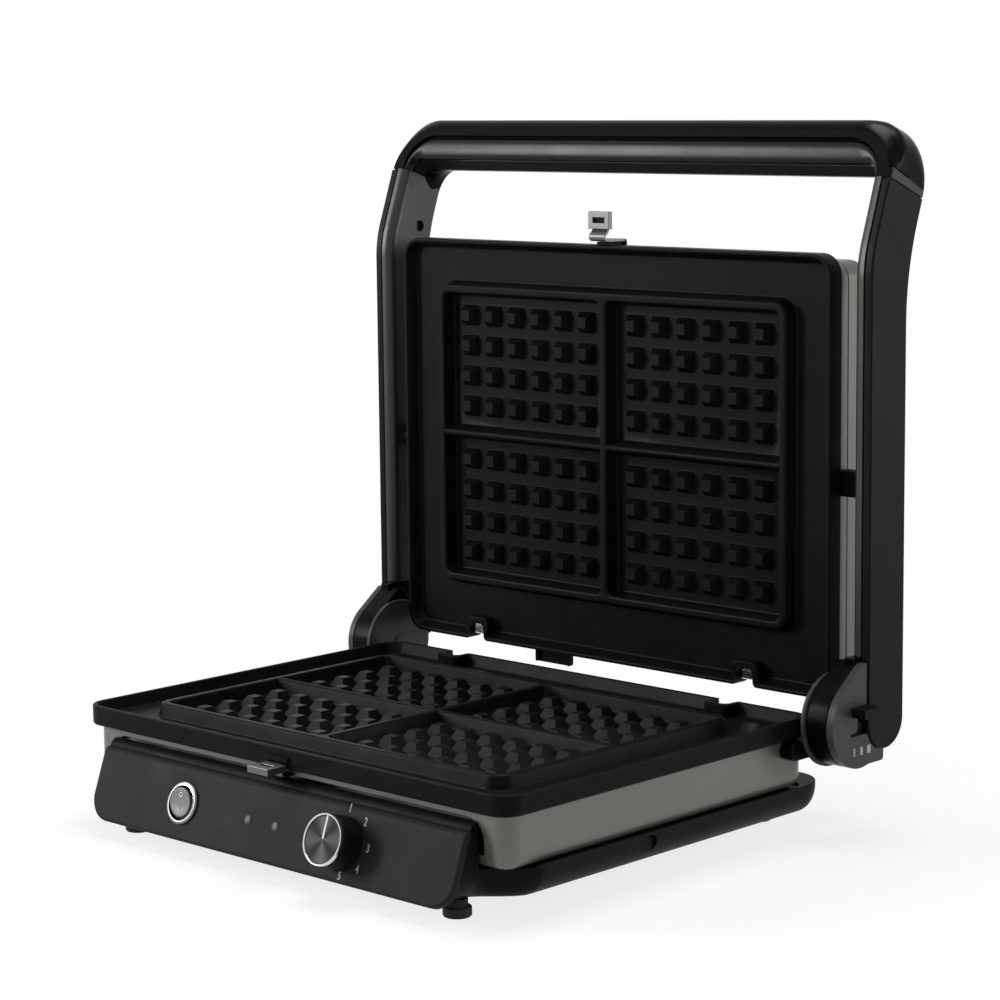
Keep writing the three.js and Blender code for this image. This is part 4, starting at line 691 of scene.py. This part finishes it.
def numeral(text, x, down, height=4.0, capital_share=0.72, width_share=0.74, sunk=0.05):
    """A raised numeral on the panel. It is narrower than the font's, and sunk to half its thickness."""
    curve = bpy.data.curves.new("numeral", "FONT")
    curve.body = text
    curve.size = height / capital_share
    curve.align_x = "CENTER"
    curve.align_y = "CENTER"
    curve.extrude = 2 * sunk
    curve.offset = 0.1
    holder = linked("numeral", curve)
    bpy.context.view_layer.update()
    mesh = bpy.data.meshes.new_from_object(holder.evaluated_get(bpy.context.evaluated_depsgraph_get()))
    place = on_panel(x, down)
    for v in mesh.vertices:
        v.co = at(*place(v.co.x * width_share, v.co.y, v.co.z - sunk))
    mesh.materials.clear()
    bpy.data.objects.remove(holder)
    dress("dial_number_" + text, mesh, print_grey, "base", slot="panel_grey", sharp=40)


for text, x, down in (("1", 54.0, 1.9), ("2", 65.6, 6.4), ("3", 70.9, 18.0), ("4", 67.1, 28.5),
                      ("5", 56.7, 33.4)):
    numeral(text, x, down)

# Hinge

CAP_RADIUS = 22.6
CAP_FACE = 173


def teardrop(radius, back=5, rise=32.1, steps=72):
    """A round cap whose sides run straight up to a cut end above it."""
    towards = math.degrees(math.atan2(rise, back))
    opening = math.degrees(math.acos(radius / math.hypot(back, rise)))
    points = arc(0, 0, radius, towards + opening, towards - opening + 360, steps)
    return points + [(back + 1.55, rise - 2.2), (back - 2.9, rise - 2.2)]


for side, tag in SIDES:
    place = on_hinge(side)
    disc = Shape().lathe([(3.5, 153.72), (22.9, 153.72), (23.7, 153.85), (24, 154.2), (24, 155.4),
                          (23.85, 155.8), (23.4, 156), (3.5, 156)], 96, closed=True)
    piece("hinge_disc_" + tag, disc, cap_grey, "base", "hinge_bracket_" + tag, place, slot="gloss_black",
          sharp=40)
    bracket = arc(205, -15.4, 4.5, 90, 270, 8) + arc(226.5, -18.9, 1, 270, 360, 3)
    bracket += arc(226.5, -11.9, 1, 0, 90, 3)
    piece("hinge_arm_" + tag, Shape().prism(bracket, 146.3, 154), gloss, "base", None, sideways(side),
          bevel=0.8, slot="gloss_black")
    axle = Shape().lathe([(3.4, 152.8), (3.5, 153), (3.5, 154), (3.2, 154.1), (3.2, 167.5)], 48)
    piece("hinge_axle_" + tag, axle, cap_grey, "base", "hinge_pin_" + tag, place, slot="steel", sharp=40)
    knuckle = Shape().prism(teardrop(CAP_RADIUS), 156.3, 168.7)
    knuckle.prism([(0, -1.3), (34.5, -1.3), (34.5, 32.2), (0, 32.2)], 162.5, 168.7)
    piece("hinge_knuckle_" + tag, knuckle, gloss, "lid_frame", "hinge_drum_" + tag, place, bevel=0.7,
          slot="gloss_black")
    lug = [(0, -23.5)] + arc(23.5, -21.5, 2, 270, 360, 5) + [(25.5, 0), (0, 0)]
    piece("hinge_lug_" + tag, Shape().prism(lug, 157.3, 168.9), cap_grey, "lid_frame", None, place,
          bevel=0.6, slot="cap_grey")
    cap = piece("hinge_cap_plate_" + tag, Shape().prism(teardrop(CAP_RADIUS), 169, CAP_FACE), cap_grey,
                "lid_frame", "hinge_cap_" + tag, place, bevel=0.45, slot="cap_grey")
    cuts = Shape().prism(arc(20.1, -1.3, 15.1, 180, 360, 40) + [(35.2, 34), (5, 34)], 160, 180)
    if side == 1:
        selector_slot = [(-2.3, 9.05), (-2.3, -1.2)] + arc(-5.25, -1.2, 2.95, 0, -90, 6) + [(-6.9, -4.15)]
        selector_slot += arc(-6.9, -5.05, 0.9, 90, 270, 6) + [(6, -5.95), (6, 9.05)]
        cuts.prism(selector_slot, 160, 180)
    carve(cap, cuts, place)

marks = Shape()
for y0, y1 in ((-5.4, -4.3), (0.0, 2.1), (5.7, 8.6)):
    marks.box(y0, y1, -16.0, -11.9, CAP_FACE - 0.1, CAP_FACE + 0.06)
piece("selector_marks", marks, print_grey, "lid_frame", None, on_hinge(), slot="cap_grey")
selector = piece("selector_tab", Shape().box(-7.8, 5, 4.35, 9.05, CAP_FACE + CLEARANCE, 181.7), matte,
                 "selector", "thickness_selector", on_hinge(), bevel=0.8, segments=4, slot="control_black")
carve(selector, Shape().box(-2, 4, 4.65, 8.75, 169.7, 173.6), on_hinge(), "UNION")

# Arms, with their covers, collars and the pins that carry the lid

def bend(y, z, radius, steps=16):
    tangent = radius * math.tan(LEAN / 2)
    return arc(y + radius, z - tangent, radius, 180, 180 - LEAN_DEGREES, steps)


def arm_outline(bottom, front=0.0, back=0.0, end=42.6, rear_end=None):
    """Side outline of an arm. front and back set the long edges in. end and rear_end are its length along
    the lean, at its front and rear edges."""
    back_y = ARM_BACK - back
    rear_y, rear_z = leaning(0, ARM_DEPTH - back)
    corner_z = rear_z - (rear_y - back_y) / math.tan(LEAN)
    points = bend(ARM_FRONT + front, BEND_Z - front * math.tan(LEAN / 2), 58 - front)
    points += [leaning(end, front), leaning(rear_end or end, ARM_DEPTH - back)]
    return points + list(reversed(bend(back_y, corner_z, 150))) + bottom


def collar_top(back):
    return 47.9 - 3.3 * (back / ARM_DEPTH) ** 1.4


def collar_foot(back):
    return 42.4 - 1.5 * (back / ARM_DEPTH) ** 1.4


for side, tag in SIDES:
    place = sideways(side)
    loops = []
    for inset, x in ((5.2, 162.5), (3.4, 162.75), (2.1, 163.3), (1.1, 164.2), (0.45, 165.3), (0.1, 166.5),
                     (0, 168.7)):
        rear_inset = inset * 0.12
        foot = [(ARM_BACK - rear_inset, ARM_FOOT_Z), (ARM_FRONT + inset, ARM_FOOT_Z)]
        outline = arm_outline(foot, inset, rear_inset)
        loops.append([(y, z, x) for y, z in outline])
    arm = piece("arm_inner_" + tag, Shape().solid(loops), satin, "lid_frame", "arm_" + tag, place,
                slot="gloss_black", sharp=60)
    carve(arm, Shape().rod(3.2, 155, 165.5, 32), sideways(side, *leaning(15, 20.6)))
    liner = arm_outline(arc(251.6, -3.8, 12.6, 0, -180, 24), 0.7, 2, 42.2, 40.4)
    piece("arm_liner_" + tag, Shape().prism(liner, 168.9, 171.6), gloss, "lid_frame", None, place, bevel=0.3,
          segments=2, slot="cover_grey", angle=25)
    cover = arm_outline(arc(251.6, -3.8, 14.6, 0, -180, 36), 0, 0, 42.2, 40.7)
    piece("arm_outer_" + tag, Shape().prism(cover, 169.2, 174), cover_black, "lid_frame",
          "arm_cover_" + tag, place, bevel=1.0, segments=5, slot="cover_grey", angle=25)
    depths = [1.5 + 28.5 * i / 12 for i in range(13)]
    collar = [leaning(collar_foot(back), back) for back in depths]
    collar += [leaning(collar_top(back), back) for back in reversed(depths)]
    piece("arm_band_" + tag, Shape().prism(collar, 169, 173.6), collar_grey, "lid_frame",
          "arm_collar_" + tag, place, bevel=0.45, slot="collar_grey")
    piece("pivot_pin_" + tag, Shape().lathe([(4, 151.5), (4, 168.7)], 32), steel, "lid_frame",
          "lid_pivot_pin_" + tag, sideways(side, PIVOT_Y, PIVOT_Z), slot="steel", sharp=40)

# Handle: a bar with bent ends over the arms. Each line of its section runs up the right leg, round a
# corner, along the bar and down the left leg.

HANDLE_SIDE, HANDLE_TOP = 173.98, 73.68
FRONT_ROUND, REAR_ROUND = 8.4, 12
HANDLE_SPLIT, REAR_BEND, HANDLE_BACK = 15.1, 22, 29.98


def handle_line(side_x, top, radius, back, low):
    start = math.degrees(math.asin(min(1, max(0, low - top + radius) / radius)))
    if start > 0:
        right = arc(side_x - radius, top - radius, radius, start, 90, 21)
    else:
        right = [(side_x, low + (top - radius - low) * i / 3) for i in range(3)]
        right += arc(side_x - radius, top - radius, radius, 0, 90, 18)
    return [(x, y, back) for x, y in right] + [(-x, y, back) for x, y in reversed(right)]


def outer_lines(depths):
    """Section lines on the outside, with its round front and rear edges, for a list of depths."""
    lines = []
    for back in depths:
        front, rear = max(0, FRONT_ROUND - back), max(0, back - 18)
        drop_front = FRONT_ROUND - math.sqrt(FRONT_ROUND ** 2 - front ** 2)
        drop_rear = REAR_ROUND - math.sqrt(REAR_ROUND ** 2 - rear ** 2)
        radius = 34 - 13 * min(1, back / FRONT_ROUND) - drop_front * 0.7
        side_x = HANDLE_SIDE - drop_front * 0.8 / FRONT_ROUND - drop_rear * 0.5 / REAR_ROUND
        lines.append(handle_line(side_x, HANDLE_TOP - drop_front - drop_rear, radius, back,
                                 collar_top(back) + 0.25))
    return lines


def inner_line(side_x, down, radius, back, low=42.9):
    return handle_line(side_x, HANDLE_TOP - down, radius, back, low)


def handle_piece(name, node, lines, finishes=()):
    """Lofts a shell from its section lines. Each finish names a stretch of lines and their material."""
    obj = piece(name, Shape().solid([list(section) for section in zip(*lines)]), gloss, "lid_frame", node,
                leaned(), slot="gloss_black", sharp=35)
    count = len(lines)
    for index, (first, last, material) in enumerate(finishes, 1):
        obj.data.materials.append(material)
        for polygon in obj.data.polygons:
            if first <= polygon.index % count < last and polygon.index < count * (len(lines[0]) - 1):
                polygon.material_index = index


front_lines = outer_lines([14.9, 11, 8.4, 7.1, 5.8, 4.5, 3.3, 2.3, 1.5, 0.85, 0.4, 0.15])
rim = len(front_lines)
front_lines += [inner_line(*line) for line in (
    (172.9, 7.3, 26.5, 0), (166.2, 11.2, 21.5, 0), (166.0, 11.4, 21.3, 0.2), (166.0, 11.4, 21.3, 2.5),
    (165.9, 11.7, 21, 2.7), (165.8, 12.1, 20.7, 2.3), (165.5, 12.9, 19.5, 1.75), (165.2, 13.7, 18.5, 1.4),
    (164.8, 14.7, 17.5, 1.15), (164.4, 16, 16, 1.05), (164, 18, 14, 1.15), (163.6, 20, 12, 1.5),
    (163.3, 22, 9, 2.15), (162.9, 23.3, 7, 2.9), (162.6, 24.1, 6, 3.8), (162.5, 24.5, 5.5, 4.8),
    (162.45, 25.1, 5, 8.6), (162.4, 26.6, 5, 14), (162.4, 26.8, 5, 14.9))]
handle_piece("handle_front_shell", "handle_front", front_lines,
             [(rim, rim + 2, strip_grey), (rim + 4, rim + 15, grip_satin), (rim + 15, rim + 19, strip_grey)])

for side, tag in SIDES:
    toe = Shape().prism([(165, 42.6), (173.1, 42.6), (170.8, 48.4), (165, 48.4)], 0.02, 1.3)
    piece("handle_toe_" + tag, toe, strip_grey, "lid_frame", None, leaned(side), bevel=0.15, segments=2,
          slot="gloss_black")

depths = [HANDLE_SPLIT, 18, 20, REAR_BEND]
depths += [REAR_BEND + (HANDLE_BACK - REAR_BEND) * math.sin(math.radians(a)) for a in range(15, 91, 15)]
rear_lines = outer_lines(depths)
for back in reversed(depths):
    share = (back - HANDLE_SPLIT) / (HANDLE_BACK - HANDLE_SPLIT)
    rear_lines.append(inner_line(162.6, 26.8 - 5.5 * share ** 1.5, 5 + 8 * min(1, 2 * share), back,
                                 32.5 if back < 29 else 41))
handle_piece("handle_rear_shell", "handle_rear", rear_lines)

# Latches and plate hooks of bent sheet

def sheet(path, thickness):
    """Outline of a bent sheet round its middle line."""
    half = thickness / 2
    upper, lower = [], []
    for i, (a, b) in enumerate(path):
        before, after = path[max(i - 1, 0)], path[min(i + 1, len(path) - 1)]
        run, rise = after[0] - before[0], after[1] - before[1]
        length = math.hypot(run, rise)
        upper.append((a - rise / length * half, b + run / length * half))
        lower.append((a + rise / length * half, b - run / length * half))
    return upper + lower[::-1]


def latch(name, place, body, replaces, head, neck, run):
    """A slotted hollow head with a pad in it, on a neck and a run that are bent from one sheet."""
    y0, y1, z0, z1 = head
    middle = (y0 + y1) / 2
    obj = piece(name, Shape().box(-7.3, 7.3, *head), latch_metal, body, replaces, place, bevel=0.35,
                slot="chrome_metal")
    cuts = Shape().box(-5.9, 5.9, y0 + 1.4, y1 + 3, z0 - 2, z1 - 1.4)
    carve(obj, cuts.box(-4, 4, middle - 1.4, middle + 1.4, z0 - 1, z1 + 1), place)
    pad = Shape().box(-5.6, 5.6, y0 + 1.7, y1 - 0.3, z1 - 2.3, z1 - 1.6)
    piece(name + "_pad", pad, matte, body, None, place, bevel=0.15, segments=2, slot="matte_black_plastic")
    for tag, path, material in (("_neck", neck, latch_metal), ("_run", run, matte)):
        piece(name + tag, Shape().prism(sheet(path, 1.3), -5.5, 5.5), material, body, None, crossed(place),
              bevel=0.25, segments=2, slot="chrome_metal")


latch("base_latch", plain, "base_catch", "lower_latch", (-14, -1.8, -10.8, -7.3),
      arc(-4.3, -9.75, 1.8, 90, 0, 5) + [(-2.5, -11), (-2.5, -12.4)] + arc(-1.6, -12.4, 0.8, 180, 270, 4),
      [(-1.8, -13.2), (13.8, -13.2)])
upper_neck = [(-9.4, 1.0), (-8.5, 0.9), (-7.6, 1.3), (-6.4, 2.3)] + arc(-4.6, 2.1, 1.8, 120, 0, 8)
upper_neck += [(-2.7, 0.8), (-2.5, -1.5), (-2.5, -12.2)]
latch("lid_latch", lidded, "lid_catch", "upper_latch", (-17.8, -8.6, 0, 3), upper_neck,
      [(-2.7, -12.4), (-1.9, -13.2), (13.8, -13.2)])

hook = [(220.4, -17.6), (220.4, -4.6)] + arc(219.1, -4.6, 1.3, 0, 90, 5) + [(215.2, -3.3)]
for node, place, body, turned in (("lower_hook", plain, "base", 1), ("upper_hook", lidded, "lid", -1)):
    for side, tag in SIDES:
        x = HOOK_X * side * turned
        piece(node + "_sheet_" + tag, Shape().prism(sheet(hook, 1.4), x - 4, x + 4), chrome, body,
              node + "_" + tag, crossed(place), bevel=0.3, segments=2, slot="chrome_metal")

# Cord gland and lid pivot blocks

gland = Shape().lathe([(3.4, -4), (5.5, -4), (5.5, 0.4), (6.5, 0.4), (6.8, 0.7), (6.8, 2.4), (6.5, 2.75),
                       (4.2, 2.8), (3.6, 2.6), (3.4, 2.2)], 48, closed=True)
piece("gland_collar", gland, rubber, "base", "cord_gland", lengthways(GLAND_X, REAR_WALL, GLAND_Z),
      slot="rubber_black", sharp=40)

for side, tag in SIDES:
    x0, x1 = sorted((-side * 146.3, -side * 158.9))
    piece("pivot_block_" + tag, Shape().box(x0, x1, 108.5, 121.5, -20, -11), matte, "lid",
          "lid_pivot_block_" + tag, lidded, bevel=0.9, slot="matte_black_plastic")

# Materials of the nodes that stay

for names, material in (
        (("lower_reflector", "upper_reflector", "thermostat_body", "knob_shaft"), steel),
        (("lower_heating_element", "upper_heating_element"), heater),
        (("terminal_block",), beige),
        (("switch_body",), matte)):
    for node_name in names:
        mesh = nodes[node_name].data
        mesh.materials.clear()
        mesh.materials.append(material)

# Floor and world, seen white from a distance

def seen_directly(tree):
    """One for camera, glossy and transmission rays, so that metal shows the background too."""
    path = tree.nodes.new("ShaderNodeLightPath")
    found = path.outputs["Is Camera Ray"]
    for other in ("Is Glossy Ray", "Is Transmission Ray"):
        found = maths(tree, "MAXIMUM", found, path.outputs[other])
    return found


floor_half = 6
floor_mesh = bpy.data.meshes.new("floor")
floor_mesh.from_pydata([(x, y, 0) for x, y in ((-floor_half, -floor_half), (floor_half, -floor_half),
                                               (floor_half, floor_half), (-floor_half, floor_half))],
                       [], [(0, 1, 2, 3)])
floor = linked("floor", floor_mesh)
floor_white, tree, shader = new_material("floor_white")
shader.inputs["Base Color"].default_value = (0.85, 0.85, 0.85, 1)
shader.inputs["Roughness"].default_value = 0.8
shader.inputs["Specular IOR Level"].default_value = 0.0
coord = tree.nodes.new("ShaderNodeTexCoord")
length = tree.nodes.new("ShaderNodeVectorMath")
length.operation = "LENGTH"
tree.links.new(coord.outputs["Object"], length.inputs[0])
whiteness = spread(tree, length.outputs["Value"], 0.8, 1.0, 0.15, 0.6)
whiteness.node.interpolation_type = "SMOOTHSTEP"
white = tree.nodes.new("ShaderNodeEmission")
mix = tree.nodes.new("ShaderNodeMixShader")
tree.links.new(maths(tree, "MULTIPLY", whiteness, seen_directly(tree)), mix.inputs[0])
tree.links.new(shader.outputs["BSDF"], mix.inputs[1])
tree.links.new(white.outputs["Emission"], mix.inputs[2])
tree.links.new(mix.outputs["Shader"], tree.nodes["Material Output"].inputs["Surface"])
floor_mesh.materials.append(floor_white)

world = bpy.data.worlds.new("studio")
bpy.context.scene.world = world
world.use_nodes = True
background = world.node_tree.nodes["Background"]
background.inputs["Color"].default_value = (1, 1, 1, 1)
world_level = spread(world.node_tree, seen_directly(world.node_tree), 0.3, 1.0, 0, 1)
world.node_tree.links.new(world_level, background.inputs["Strength"])

# Studio lamps, in metres of the row frame

def lamp(name, where, target, size, power, size_y=None):
    data = bpy.data.lights.new(name, "AREA")
    data.energy = power
    data.size = size
    if size_y:
        data.shape = "RECTANGLE"
        data.size_y = size_y
    obj = linked(name, data)
    obj.location = where
    obj.rotation_mode = "QUATERNION"
    obj.rotation_quaternion = (Vector(target) - Vector(where)).to_track_quat("-Z", "Y")


lamp("left_key", (-1.3, -1.25, 0.75), (0, 0, 0.2), 0.4, 23, 0.9)
lamp("right_fill", (1.4, 1.15, 0.45), (0, 0, 0.2), 0.3, 8, 0.8)
lamp("top", (0.0, 0.25, 1.5), (0, 0, 0.1), 0.6, 15)

# Camera, solved from the photo's edges

CAMERA_PLACE = at(990.08, -880.99, 310.59)
view_azimuth, view_elevation, view_roll = math.radians(43.69), math.radians(8.27), math.radians(-0.62)
forward = Vector((-math.sin(view_azimuth) * math.cos(view_elevation),
                  math.cos(view_azimuth) * math.cos(view_elevation), -math.sin(view_elevation)))
level_right = forward.cross(Vector((0, 0, 1))).normalized()
level_up = level_right.cross(forward)
right = math.cos(view_roll) * level_right + math.sin(view_roll) * level_up
up = -math.sin(view_roll) * level_right + math.cos(view_roll) * level_up
camera_data = bpy.data.cameras.new("camera")
camera_data.sensor_width = 36
camera_data.lens = 101.54
camera = linked("camera", camera_data)
turn = Matrix((right, up, -forward)).transposed().to_4x4()
camera.matrix_world = Matrix.Translation(CAMERA_PLACE) @ turn
bpy.context.scene.camera = camera
bpy.context.scene.view_settings.view_transform = "Standard"
